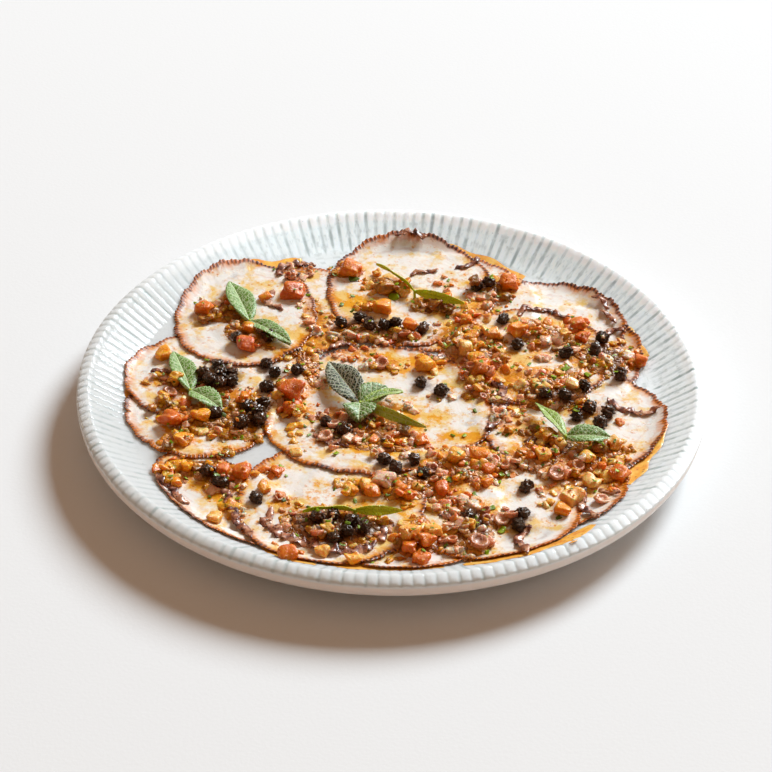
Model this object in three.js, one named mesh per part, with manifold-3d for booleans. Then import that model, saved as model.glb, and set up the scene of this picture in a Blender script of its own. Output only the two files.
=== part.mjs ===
// Octopus carpaccio on its ribbed stoneware plate, with a relish of diced vegetables, capers and mint.
// Units are millimetres and +Z is up. The origin is under the middle of the plate, level with the bottom
// of its foot.
import * as THREE from 'three';
import { mergeVertices } from 'three/addons/utils/BufferGeometryUtils.js';
import Module from 'manifold-3d';

const wasm = await Module();
wasm.setup();

// ---------------------------------------------------------------- driving dimensions

// The plate: a flat bed, a straight sloping wall with radial ribs, and a rounded lip.
const PLATE_RADIUS = 140;
const PLATE_HEIGHT = 22;
const BED_RADIUS = 118;
const BED_DEPTH = 11.8;
const WALL_TOP_RADIUS = 136.8;
const LIP_DROP = 3;
const LIP_DEPTH = 9.2;
const UNDERSIDE_RADIUS = 119;
const UNDERSIDE_DEPTH = 18.2;
const FOOT_OUTER_RADIUS = 95;
const FOOT_INNER_RADIUS = 86;
const FOOT_RISE = 3.4;
const RIB_COUNT = 180;
const RIB_RELIEF = 0.5;

// The slices: thin sheets of pressed octopus, laid one over another.
const SLICE_THICKNESS = 0.9;
const EDGE_SHARE = 0.35;
const SCALLOP_COUNT = 16;
const SCALLOP_DEPTH = 1.3;
const GAP = 0.3;

// The web of rings that every laid sheet shares, so that sheets keep the same gap all over.
const BED_RINGS = 7;
const WALL_RINGS = 2;
const RING_STEP = 16;
const CELL_REACH = 19;
const DRAPE_PASSES = 1;
const SAG = 0.5;

// The relish: heaps of small dice and capers over a low core.
const CORE_THICKNESS = 1.2;
const CORE_RINGS = [[0.5, 5], [1, 10]];
const BUMP = 1.8;
const CAPER_SIZE = 6.6;
const DEEP = 30;

// The mint: thin leaves, folded along the middle.
const LEAF_THICKNESS = 0.5;
const LEAF_STEPS = 5;
const LEAF_FOLD = 0.45;
const LEAF_ARCH = 3;
const STEM_RADIUS = 0.8;
const STEM_LENGTH = 2;
const FALL_FROM = 30;
const FALL_STEP = 0.4;

// ---------------------------------------------------------------- what lies where

// Slices in the order they are laid: name, middle (x, y), half length, half width, heading in degrees,
// and the turn of its uneven outline.
const SLICES = [
  ['slice_lower_left', -70, -75, 43, 21, 132, 0.4],
  ['slice_far_left_under', -47, 68, 36, 34, 0, 1.0],
  ['slice_lower_right', 62, -54, 42, 38, -45, 1.9],
  ['slice_far_right_under', 77, 34, 38, 38, 0, 2.6],
  ['slice_far_under', 28, 73, 38, 40, 0, 0.9],
  ['slice_near', 4, -80, 43, 42, 0, 3.3],
  ['slice_near_right', 42, -75, 42, 40, 0, 5.1],
  ['slice_near_left', -26, -78, 42, 42, 0, 4.2],
  ['slice_right', 80, -18, 42, 41, 0, 0.2],
  ['slice_left', -85, -11, 38, 33, 90, 2.2],
  ['slice_far_right', 68, 53, 39, 39, 0, 1.2],
  ['slice_far', 8, 84, 42, 40, 90, 3.8],
  ['slice_upper_left', -79, 13, 42, 38, 0, 5.6],
  ['slice_far_left', -68, 60, 41, 34, 85, 4.9],
  ['slice_inner_right', 63, 30, 37, 37, 0, 2.9],
  ['slice_middle', -6, -12, 51, 49, 30, 1.5],
];

// Heaps of relish: name, middle (x, y), half length, half width, heading in degrees, height, big pieces.
const HEAPS = [
  ['relish_far_left', -79, 62, 14, 10, 160, 2.2, 2],
  ['relish_left_middle', -65, 40, 13, 8, 160, 1.8, 2],
  ['relish_left', -88, 6, 18, 9, 160, 2.4, 2],
  ['relish_left_low', -88, -19, 16, 10, 165, 2.0, 2],
  ['relish_left_inner', -64, -19, 18, 10, 75, 2.4, 2],
  ['relish_middle_left', -46, -6, 12, 6, 85, 1.8, 1],
  ['relish_middle_far_left', -38, 22, 14, 5, 100, 1.6, 1],
  ['relish_middle_far', -5, 48, 23, 8, 178, 2.2, 3],
  ['relish_far_edge', -21, 96, 9, 6, 20, 2.0, 1],
  ['relish_far', 8, 77, 22, 10, 150, 2.4, 3],
  ['relish_far_right', 48, 85, 12, 8, 110, 2.0, 1],
  ['relish_upper_right', 35, 36, 19, 14, 50, 2.6, 4],
  ['relish_right_far', 68, 47, 16, 9, 170, 2.4, 2],
  ['relish_right_edge', 96, 29, 19, 12, 125, 2.6, 3],
  ['relish_right_middle', 74, 4, 20, 13, 20, 2.4, 3],
  ['relish_middle_right', 40, 8, 14, 6, 105, 2.0, 1],
  ['relish_right', 91, -42, 19, 12, 105, 2.8, 3],
  ['relish_right_inner', 66, -40, 17, 10, 60, 2.4, 2],
  ['relish_lower_right', 38, -52, 17, 13, 160, 2.6, 3],
  ['relish_near_right', 34, -94, 20, 10, 95, 2.4, 2],
  ['relish_near', 11, -102, 14, 11, 80, 2.4, 2],
  ['relish_near_left', -24, -94, 22, 12, 175, 3.2, 3],
  ['relish_lower_left', -80, -57, 19, 9, 172, 2.2, 3],
  ['relish_middle_near', 1, -68, 20, 9, 5, 2.2, 3],
  ['relish_middle', -9, -30, 21, 13, 170, 2.4, 3],
];

// Pieces that lie alone: name, kind, middle (x, y), size across.
const SINGLES = [
  ['tomato_far_left', 'tomato', -46, 76, 12],
  ['tomato_near_left', 'tomato', -43, -112, 9],
  ['onion_lower_left', 'onion', -74, -92, 8],
  ['onion_upper_left', 'onion', -104, 24, 8],
  ['onion_lower_right', 'onion', 77, -74, 9],
  ['caper_left_a', 'caper', -57, 19, 7],
  ['caper_middle_a', 'caper', 13, 7, 7],
  ['caper_middle_b', 'caper', 22, -1, 6],
  ['caper_middle_near', 'caper', 1, -54, 8],
  ['caper_lower_left', 'caper', -57, -78, 7],
  ['caper_near_right', 'caper', 56, -90, 8],
];

// Mint sprigs: name, foot (x, y), and leaves as heading in degrees, length, width and roll in degrees.
const SPRIGS = [
  ['mint_far_left', -66, 52, [[109, 34, 12, 8], [-41, 26, 10, -8]]],
  ['mint_left', -90, 0, [[108, 31, 11, 10], [-43, 20, 12, -6]]],
  [
    'mint_middle', -14, -7,
    [[116, 34, 14, -12], [45, 17, 12, 10], [-92, 13, 14, 0], [-31, 34, 4, 60], [26, 21, 7, -10]],
  ],
  ['mint_far', 10, 75, [[129, 29, 3, 60], [-22, 25, 5, 55]]],
  ['mint_right', 76, -34, [[117, 27, 7, 20], [-2, 20, 11, 4]]],
  ['mint_near', -15, -88, [[183, 22, 3, 60], [1, 18, 5, 55]]],
];

// ---------------------------------------------------------------- materials

const finish = (color, roughness) => new THREE.MeshStandardMaterial({ color, roughness, metalness: 0 });
const GLAZE = finish(0xe9ebe8, 0.25);
const FLESH = finish(0xf0dccb, 0.35);
const RELISH = finish(0xb8622e, 0.35);
const TOMATO = finish(0xc14a1c, 0.3);
const ONION = finish(0xd9902f, 0.3);
const CAPER = finish(0x1d1714, 0.45);
const MINT = finish(0x7d9a68, 0.55);

// ---------------------------------------------------------------- helpers

// A seeded draw between 0 and 1, so that the part comes out the same each time.
function seeded(seed) {
  let state = seed >>> 0;
  return () => {
    state = (state + 0x6d2b79f5) >>> 0;
    let mixed = Math.imul(state ^ (state >>> 15), state | 1);
    mixed ^= mixed + Math.imul(mixed ^ (mixed >>> 7), mixed | 61);
    return ((mixed ^ (mixed >>> 14)) >>> 0) / 4294967296;
  };
}

function indexed(points, faces) {
  const geometry = new THREE.BufferGeometry();
  geometry.setAttribute('position', new THREE.Float32BufferAttribute(points.flat(), 3));
  geometry.setIndex(faces.flat());
  return geometry;
}

function toSolid(geometry) {
  const bare = geometry.clone();
  bare.deleteAttribute('normal');
  bare.deleteAttribute('uv');
  const merged = mergeVertices(bare, 1e-4);
  const mesh = new wasm.Mesh({
    numProp: 3,
    vertProperties: new Float32Array(merged.attributes.position.array),
    triVerts: new Uint32Array(merged.index.array),
  });
  return new wasm.Manifold(mesh);
}

function fromSolid(solid) {
  const mesh = solid.getMesh();
  const geometry = new THREE.BufferGeometry();
  geometry.setAttribute('position', new THREE.BufferAttribute(new Float32Array(mesh.vertProperties), 3));
  geometry.setIndex(new THREE.BufferAttribute(new Uint32Array(mesh.triVerts), 1));
  return geometry;
}

// The largest connected body of a solid, with loose scraps dropped and sealed hollows filled.
function largestBody(solid) {
  return solid.decompose().sort((a, b) => b.volume() - a.volume())[0];
}

const group = new THREE.Group();

function addPart(name, geometry, material) {
  const mesh = new THREE.Mesh(geometry, material);
  mesh.name = name;
  group.add(mesh);
}

// ---------------------------------------------------------------- the plate

const RIM_Z = PLATE_HEIGHT;
const BED_Z = RIM_Z - BED_DEPTH;
const WALL_SLOPE = BED_DEPTH / (WALL_TOP_RADIUS - BED_RADIUS);

// The height of the plate's upper face at a radius, over the tops of the ribs.
function plateTop(radius) {
  return BED_Z + Math.max(0, radius - BED_RADIUS) * WALL_SLOPE;
}

// One ring of points. Every second point of a ribbed ring is pushed in along the wall's normal.
function ring(radius, z, steps, push = [0, 0]) {
  const points = [];
  for (let k = 0; k < steps; k += 1) {
    const angle = (2 * Math.PI * k) / steps;
    const r = radius + (k % 2) * push[0];
    points.push([r * Math.cos(angle), r * Math.sin(angle), z + (k % 2) * push[1]]);
  }
  return points;
}

function plateGeometry() {
  const ribbed = 2 * RIB_COUNT;
  const smooth = RIB_COUNT / 2;
  const plain = RIB_COUNT / 4;
  const rings = [
    [[0, 0, BED_Z]],
    ring(BED_RADIUS, BED_Z, ribbed),
    ring(WALL_TOP_RADIUS, RIM_Z, ribbed, [0, -RIB_RELIEF]),
    ring(PLATE_RADIUS, RIM_Z - LIP_DROP, ribbed, [-RIB_RELIEF, -RIB_RELIEF]),
    ring(PLATE_RADIUS - 1.4, RIM_Z - LIP_DEPTH, smooth),
    ring(UNDERSIDE_RADIUS, RIM_Z - UNDERSIDE_DEPTH, plain),
    ring(FOOT_OUTER_RADIUS, FOOT_RISE, plain),
    ring(FOOT_OUTER_RADIUS - 1.5, 0, plain),
    ring(FOOT_INNER_RADIUS + 1.5, 0, plain),
    ring(FOOT_INNER_RADIUS, FOOT_RISE, plain),
    [[0, 0, FOOT_RISE]],
  ];
  const points = rings.flat();
  const starts = [0];
  rings.forEach((one) => starts.push(starts[starts.length - 1] + one.length));
  const faces = [];
  for (let i = 0; i + 1 < rings.length; i += 1) {
    stitch(faces, starts[i], rings[i].length, starts[i + 1], rings[i + 1].length);
  }
  return indexed(points, faces);
}

// Joins two rings whose point counts divide one another with triangles.
function stitch(faces, inner, innerCount, outer, outerCount) {
  const steps = Math.max(innerCount, outerCount);
  const at = (start, count, k) => start + (Math.round((k * count) / steps) % count);
  for (let k = 0; k < steps; k += 1) {
    const a = at(inner, innerCount, k);
    const b = at(outer, outerCount, k);
    const c = at(outer, outerCount, k + 1);
    const d = at(inner, innerCount, k + 1);
    if (b !== c) {
      faces.push([a, b, c]);
    }
    if (a !== d) {
      faces.push([a, c, d]);
    }
  }
}

addPart('plate', plateGeometry(), GLAZE);

// ---------------------------------------------------------------- the web

// A web of triangles over the plate, with six more points in each ring than in the one inside it and a
// ring along the bend of the plate. ground holds the height of what has been laid so far.
function makeWeb() {
  const rings = [];
  for (let k = 0; k <= BED_RINGS + WALL_RINGS; k += 1) {
    const beyond = k - BED_RINGS;
    const radius = beyond < 0 ? (BED_RADIUS * k) / BED_RINGS : BED_RADIUS + beyond * RING_STEP;
    const count = Math.max(1, 6 * k);
    const points = [];
    for (let j = 0; j < count; j += 1) {
      const angle = (2 * Math.PI * j) / count;
      const x = radius * Math.cos(angle);
      const y = radius * Math.sin(angle);
      points.push({ x, y, ground: plateTop(radius), near: new Set() });
    }
    rings.push(points);
  }
  const cells = [];
  for (let k = 0; k + 1 < rings.length; k += 1) {
    const inner = (j) => rings[k][j % rings[k].length];
    const outer = (j) => rings[k + 1][j % rings[k + 1].length];
    for (let sector = 0; sector < 6; sector += 1) {
      for (let a = 0; a <= k; a += 1) {
        cells.push([inner(sector * k + a), outer(sector * (k + 1) + a), outer(sector * (k + 1) + a + 1)]);
      }
      for (let a = 0; a < k; a += 1) {
        cells.push([inner(sector * k + a), outer(sector * (k + 1) + a + 1), inner(sector * k + a + 1)]);
      }
    }
  }
  for (const cell of cells) {
    for (const point of cell) {
      cell.filter((other) => other !== point).forEach((other) => point.near.add(other));
    }
  }
  return { points: rings.flat(), cells };
}

const web = makeWeb();

// The weights of a cell's three corners at (x, y), or null where the point lies outside the cell.
function cornerShares(cell, x, y) {
  const areas = cell.map((point, i) => {
    const p = cell[(i + 1) % 3];
    const q = cell[(i + 2) % 3];
    return (q.x - p.x) * (y - p.y) - (q.y - p.y) * (x - p.x);
  });
  const whole = areas[0] + areas[1] + areas[2];
  return areas.every((area) => area >= -1e-9 * whole) ? areas.map((area) => area / whole) : null;
}

// The height of what has been laid, read on the flat cell of the web at (x, y).
function groundAt(x, y) {
  for (const cell of web.cells) {
    const shares = cornerShares(cell, x, y);
    if (shares) {
      return cell.reduce((sum, point, i) => sum + point.ground * shares[i], 0);
    }
  }
  throw new Error('the point lies outside the web');
}

// A slab over some cells of the web, between two height functions of a point.
function slab(cells, bottom, top) {
  const number = new Map();
  const low = [];
  const high = [];
  const faces = [];
  const edges = new Map();
  for (const point of cells.flat()) {
    if (!number.has(point)) {
      number.set(point, number.size);
      low.push([point.x, point.y, bottom(point)]);
      high.push([point.x, point.y, top(point)]);
    }
  }
  const count = number.size;
  for (const cell of cells) {
    const [a, b, c] = cell.map((point) => number.get(point));
    faces.push([a, c, b]);
    faces.push([a + count, b + count, c + count]);
    for (const [p, q] of [[a, b], [b, c], [c, a]]) {
      if (!edges.delete(`${q},${p}`)) {
        edges.set(`${p},${q}`, [p, q]);
      }
    }
  }
  for (const [p, q] of edges.values()) {
    faces.push([p, q, q + count]);
    faces.push([p, q + count, p + count]);
  }
  return toSolid(indexed([...low, ...high], faces));
}

// Everything up to the gap above what has been laid, within reach of (x, y), for cutting with.
function cutter(x, y, reach) {
  const close = (point) => Math.hypot(point.x - x, point.y - y) < reach + CELL_REACH;
  return slab(web.cells.filter((cell) => cell.some(close)), () => -DEEP, (point) => point.ground + GAP);
}

// ---------------------------------------------------------------- the slices

// The radius of a slice's outline towards an angle: an uneven oval with a scalloped edge.
function sliceRadius([, , , halfLength, halfWidth, heading, turn], angle) {
  const local = angle - THREE.MathUtils.degToRad(heading);
  const oval = Math.hypot(Math.cos(local) / halfLength, Math.sin(local) / halfWidth);
  const uneven = 0.022 * Math.sin(2 * angle + turn) + 0.018 * Math.sin(3 * angle + 2 * turn);
  const scallop = Math.abs(Math.sin((SCALLOP_COUNT * angle) / 2 + turn));
  return (1 + uneven) / oval - SCALLOP_DEPTH * (1 - scallop);
}

// The corners of a slice's outline.
function sliceOutline(slice) {
  const corners = [];
  for (let k = 0; k < 2 * SCALLOP_COUNT; k += 1) {
    const angle = (Math.PI * k) / SCALLOP_COUNT;
    const radius = sliceRadius(slice, angle);
    const x = slice[1] + radius * Math.cos(angle);
    const y = slice[2] + radius * Math.sin(angle);
    corners.push(new THREE.Vector2(x, y));
  }
  return corners;
}

// Whether a point of the web lies inside a slice's outline.
function insideSlice(slice, { x, y }) {
  const angle = Math.atan2(y - slice[2], x - slice[1]);
  return Math.hypot(x - slice[1], y - slice[2]) < sliceRadius(slice, angle);
}

// The cells of the web that a slice's outline reaches into.
function cellsUnder(slice, outline) {
  const crossed = (cell) => outline.some(({ x, y }) => cornerShares(cell, x, y));
  return web.cells.filter((cell) => cell.some((point) => insideSlice(slice, point)) || crossed(cell));
}

// Lays one slice on what is there: it rests on the highest thing below it, bridges the steps, and thins
// towards the points of the web outside its edge.
function laySlice(slice) {
  const outline = sliceOutline(slice);
  const cells = cellsUnder(slice, outline);
  let base = new Map(cells.flat().map((point) => [point, point.ground + GAP]));
  for (let pass = 0; pass < DRAPE_PASSES; pass += 1) {
    const next = new Map();
    for (const [point, height] of base) {
      const around = [...point.near].filter((other) => base.has(other)).map((other) => base.get(other));
      const level = around.reduce((sum, value) => sum + value, 0) / around.length;
      next.set(point, Math.max(height, SAG * height + (1 - SAG) * level));
    }
    base = next;
  }
  const thickness = (point) => SLICE_THICKNESS * (insideSlice(slice, point) ? 1 : EDGE_SHARE);
  const sheet = slab(cells, (point) => base.get(point), (point) => base.get(point) + thickness(point));
  const prism = new THREE.ExtrudeGeometry(new THREE.Shape(outline), { depth: DEEP, bevelEnabled: false });
  addPart(slice[0], fromSolid(sheet.intersect(toSolid(prism))), FLESH);
  for (const [point, height] of base) {
    point.ground = height + thickness(point);
  }
}

SLICES.forEach(laySlice);

// ---------------------------------------------------------------- the relish

// How far out (x, y) is in a heap: 0 in its middle and 1 on its outline.
function heapShare([, cx, cy, halfLength, halfWidth, heading], x, y) {
  const angle = THREE.MathUtils.degToRad(heading);
  const along = (x - cx) * Math.cos(angle) + (y - cy) * Math.sin(angle);
  const across = (y - cy) * Math.cos(angle) - (x - cx) * Math.sin(angle);
  return Math.hypot(along / halfLength, across / halfWidth);
}

function heapPoint([, cx, cy, halfLength, halfWidth, heading], share, turn) {
  const angle = THREE.MathUtils.degToRad(heading);
  const along = halfLength * share * Math.cos(turn);
  const across = halfWidth * share * Math.sin(turn);
  return [
    cx + along * Math.cos(angle) - across * Math.sin(angle),
    cy + along * Math.sin(angle) + across * Math.cos(angle),
  ];
}

function heapTop(heap, x, y) {
  const share = Math.min(1, heapShare(heap, x, y));
  return groundAt(x, y) + GAP + CORE_THICKNESS + heap[6] * (1 - share * share);
}

// The bumpy core of a heap, with straight sides down into the cutter.
function heapCore(heap, draw) {
  const rings = [[[heap[1], heap[2]]]];
  for (const [share, sides] of CORE_RINGS) {
    const points = [];
    for (let k = 0; k < sides; k += 1) {
      const turn = (2 * Math.PI * (k + 0.5 * draw())) / sides;
      points.push(heapPoint(heap, share * (0.8 + 0.2 * draw()), turn));
    }
    rings.push(points);
  }
  const outline = rings[rings.length - 1];
  const top = rings.flat().map(([x, y]) => [x, y, heapTop(heap, x, y) + BUMP * (draw() - 0.5)]);
  const points = [...top, ...outline.map(([x, y]) => [x, y, 0]), [heap[1], heap[2], 0]];
  const counts = [...rings.map((one) => one.length), outline.length, 1];
  const faces = [];
  let start = 0;
  for (let i = 0; i + 1 < counts.length; i += 1) {
    stitch(faces, start, counts[i], start + counts[i], counts[i + 1]);
    start += counts[i];
  }
  return toSolid(indexed(points, faces));
}

// One die or caper at its true size, with few sides.
function piece(kind, size, draw) {
  const geometry = kind === 'caper'
    ? new THREE.IcosahedronGeometry(size / 2, 0)
    : new THREE.BoxGeometry(size, size * (0.6 + 0.35 * draw()), size * (0.5 + 0.3 * draw()));
  geometry.rotateZ(2 * Math.PI * draw());
  geometry.rotateX(0.7 * (draw() - 0.5));
  geometry.rotateY(0.7 * (draw() - 0.5));
  return geometry;
}

function heapPieces(heap, draw) {
  const solids = [];
  const count = heap[7];
  for (let k = 0; k < count; k += 1) {
    const share = 0.85 * Math.sqrt((k + 0.4) / count);
    const [x, y] = heapPoint(heap, share, k * 2.4 + draw());
    const kind = draw() < 0.25 ? 'caper' : 'dice';
    const size = kind === 'caper' ? CAPER_SIZE : 6 + 3 * draw();
    const geometry = piece(kind, size, draw);
    geometry.translate(x, y, heapTop(heap, x, y) + 0.1 * size);
    solids.push(toSolid(geometry));
  }
  return solids;
}

function addHeap(heap, order) {
  const draw = seeded(101 + order);
  let solid = heapCore(heap, draw);
  for (const one of heapPieces(heap, draw)) {
    solid = solid.add(one);
  }
  const above = solid.subtract(cutter(heap[1], heap[2], heap[3] + 10));
  addPart(heap[0], fromSolid(largestBody(above)), RELISH);
}

HEAPS.forEach(addHeap);

// ---------------------------------------------------------------- pieces that lie alone

const SINGLE_FINISH = { tomato: TOMATO, onion: ONION, caper: CAPER };

function addSingle([name, kind, x, y, size], order) {
  const draw = seeded(501 + order);
  const geometry = piece(kind, size, draw);
  geometry.computeBoundingBox();
  geometry.translate(x, y, groundAt(x, y) + GAP - 0.85 * geometry.boundingBox.min.z);
  const solid = toSolid(geometry).subtract(cutter(x, y, size));
  addPart(name, fromSolid(solid), SINGLE_FINISH[kind]);
}

SINGLES.forEach(addSingle);

// ---------------------------------------------------------------- the mint

// A thin leaf that starts at the origin and points along +X: wide in the middle, folded and wavy.
function leafGeometry(length, width) {
  const points = [];
  const sides = [-1, 0, 1];
  for (const face of [-0.5, 0.5]) {
    for (let k = 0; k <= LEAF_STEPS; k += 1) {
      const t = k / LEAF_STEPS;
      const half = 0.5 * STEM_RADIUS + (width / 2) * Math.sin(Math.PI * Math.pow(t, 0.85)) ** 0.8;
      for (const side of sides) {
        const fold = LEAF_FOLD * Math.abs(side) * half;
        const wave = 0.5 * side * Math.sin(9 * t);
        const height = LEAF_ARCH * t * (1 - t) + fold + wave + face * LEAF_THICKNESS;
        points.push([length * t, side * half, height]);
      }
    }
  }
  const row = sides.length;
  const count = row * (LEAF_STEPS + 1);
  const faces = [];
  const quad = (a, b, c, d) => faces.push([a, b, c], [a, c, d]);
  for (let k = 0; k < LEAF_STEPS; k += 1) {
    for (let s = 0; s + 1 < row; s += 1) {
      const a = k * row + s;
      quad(a + count, a + count + row, a + count + row + 1, a + count + 1);
      faces.push([a, a + row + 1, a + row], [a, a + 1, a + row + 1]);
    }
    quad(k * row, (k + 1) * row, (k + 1) * row + count, k * row + count);
    quad((k + 1) * row + row - 1, k * row + row - 1, k * row + row - 1 + count,
      (k + 1) * row + row - 1 + count);
  }
  const last = LEAF_STEPS * row;
  for (let s = 0; s + 1 < row; s += 1) {
    quad(s + 1, s, s + count, s + 1 + count);
    quad(last + s, last + s + 1, last + s + 1 + count, last + s + count);
  }
  return indexed(points, faces);
}

const laid = group.children.map((one) => toSolid(one.geometry));

// Lowers a sprig until it would touch what is laid, and gives the last height where it still lies clear.
function restingHeight(geometry) {
  const touches = (height) => {
    const solid = toSolid(geometry.clone().translate(0, 0, height));
    return laid.some((one) => !one.intersect(solid).isEmpty());
  };
  let height = FALL_FROM;
  while (!touches(height - FALL_STEP)) {
    height -= FALL_STEP;
  }
  return height + GAP;
}

// A sprig: leaves that meet at one short stem, set down on the food that they lie over.
function addSprig([name, x, y, leaves]) {
  const stem = new THREE.CylinderGeometry(STEM_RADIUS, STEM_RADIUS * 1.2, STEM_LENGTH, 6);
  stem.rotateX(Math.PI / 2);
  stem.translate(x, y, 0.6 - STEM_LENGTH / 2);
  let solid = toSolid(stem);
  for (const [heading, length, width, roll] of leaves) {
    const geometry = leafGeometry(length, width);
    geometry.rotateX(THREE.MathUtils.degToRad(roll));
    geometry.rotateZ(THREE.MathUtils.degToRad(heading));
    geometry.translate(x, y, 0);
    solid = solid.add(toSolid(geometry));
  }
  const sprig = fromSolid(solid);
  sprig.translate(0, 0, restingHeight(sprig));
  addPart(name, sprig, MINT);
}

SPRIGS.forEach(addSprig);

export default group;
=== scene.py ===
# %% [markdown]
# # Octopus carpaccio on its ribbed plate
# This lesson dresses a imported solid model: a stoneware plate with thin pressed slices of octopus, a relish
# of diced vegetables and capers, and sprigs of mint. The solids give the size and the place of everything,
# so the first step is to load them. Every step after it makes one kind of piece, lays it where the solids
# are, and gives it a finish. Lengths are written in millimetres and turned into metres when a mesh is made.

# %% Load the frame
import math

import bpy
import numpy as np
from mathutils import Matrix


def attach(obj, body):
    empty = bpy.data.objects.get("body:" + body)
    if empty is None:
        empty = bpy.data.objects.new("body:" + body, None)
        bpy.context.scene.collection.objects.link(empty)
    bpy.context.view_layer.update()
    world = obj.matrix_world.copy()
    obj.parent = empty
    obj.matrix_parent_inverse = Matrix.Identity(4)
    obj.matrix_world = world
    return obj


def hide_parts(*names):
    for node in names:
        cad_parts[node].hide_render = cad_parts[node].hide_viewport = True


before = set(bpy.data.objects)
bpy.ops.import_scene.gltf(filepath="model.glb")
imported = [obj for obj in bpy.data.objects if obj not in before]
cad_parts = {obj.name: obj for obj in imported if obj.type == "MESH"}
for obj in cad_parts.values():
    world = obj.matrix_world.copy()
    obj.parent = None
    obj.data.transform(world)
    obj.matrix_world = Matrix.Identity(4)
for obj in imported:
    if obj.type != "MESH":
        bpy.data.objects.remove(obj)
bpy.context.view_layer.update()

MM = 0.001

# %% [markdown]
# ## The camera
# The plate is seen from about 36 degrees above the table by a long lens. A camera in Blender looks down its
# own -Z axis with +Y up, so three unit vectors are worked out first: where it looks, what is right and what
# is up. They are the columns of its rotation. A very small roll tips the far edge, as in a hand-held shot.

# %% Set up the camera
ELEVATION = math.radians(36.4)
ROLL = math.radians(0.78)
DISTANCE = 1245.9
LENS = 130.57
RIM_Z = 22.0
SHIFT = (-0.0080, -0.0124)

ahead = np.array([0.0, math.cos(ELEVATION), -math.sin(ELEVATION)])
level_up = np.array([0.0, math.sin(ELEVATION), math.cos(ELEVATION)])
level_right = np.array([1.0, 0.0, 0.0])
right = math.cos(ROLL) * level_right + math.sin(ROLL) * level_up
up = math.cos(ROLL) * level_up - math.sin(ROLL) * level_right

camera_data = bpy.data.cameras.new("camera")
camera_data.lens = LENS
camera_data.sensor_width = 36.0
camera_data.shift_x, camera_data.shift_y = SHIFT
camera_data.clip_end = 20.0
camera = bpy.data.objects.new("camera", camera_data)
bpy.context.scene.collection.objects.link(camera)
bpy.context.scene.camera = camera
place = (np.array([0.0, 0.0, RIM_Z]) - DISTANCE * ahead) * MM
axes = np.column_stack([right, up, -ahead, place])
camera.matrix_world = Matrix([*axes.tolist(), [0.0, 0.0, 0.0, 1.0]])
print("camera at", [round(float(v), 3) for v in place])

# %% [markdown]
# ## Shader maths in Python
# A finish in Blender is a net of nodes. Written by hand it is long, so two small classes do the wiring. A
# Value wraps a socket, and Python's own operators on it add Math nodes, so that 1 - mask works as it reads.
# A Finish holds one material. Its node method makes any other node: it takes the type, the settings, which
# are set first, and then the values or links of its sockets.

# %% Values and finishes
class Value:
    """A number, colour or vector that changes over a surface."""

    def __init__(self, finish, socket):
        self.finish = finish
        self.socket = socket

    def math(self, operation, *others):
        return self.finish.node("ShaderNodeMath", {"operation": operation}, dict(enumerate((self, *others))))

    def __add__(self, other):
        return self.math("ADD", other)

    __radd__ = __add__

    def __sub__(self, other):
        return self.math("SUBTRACT", other)

    def __rsub__(self, other):
        return (self * -1.0) + other

    def __mul__(self, other):
        return self.math("MULTIPLY", other)

    __rmul__ = __mul__

    def sine(self):
        return self.math("SINE")

    def size(self):
        return self.math("ABSOLUTE")

    def step(self, low, high):
        """0 below low, 1 above high and a smooth climb between; low above high makes it fall."""
        settings = {"interpolation_type": "SMOOTHSTEP"}
        return self.finish.node("ShaderNodeMapRange", settings, {"Value": self, 1: low, 2: high})


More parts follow.
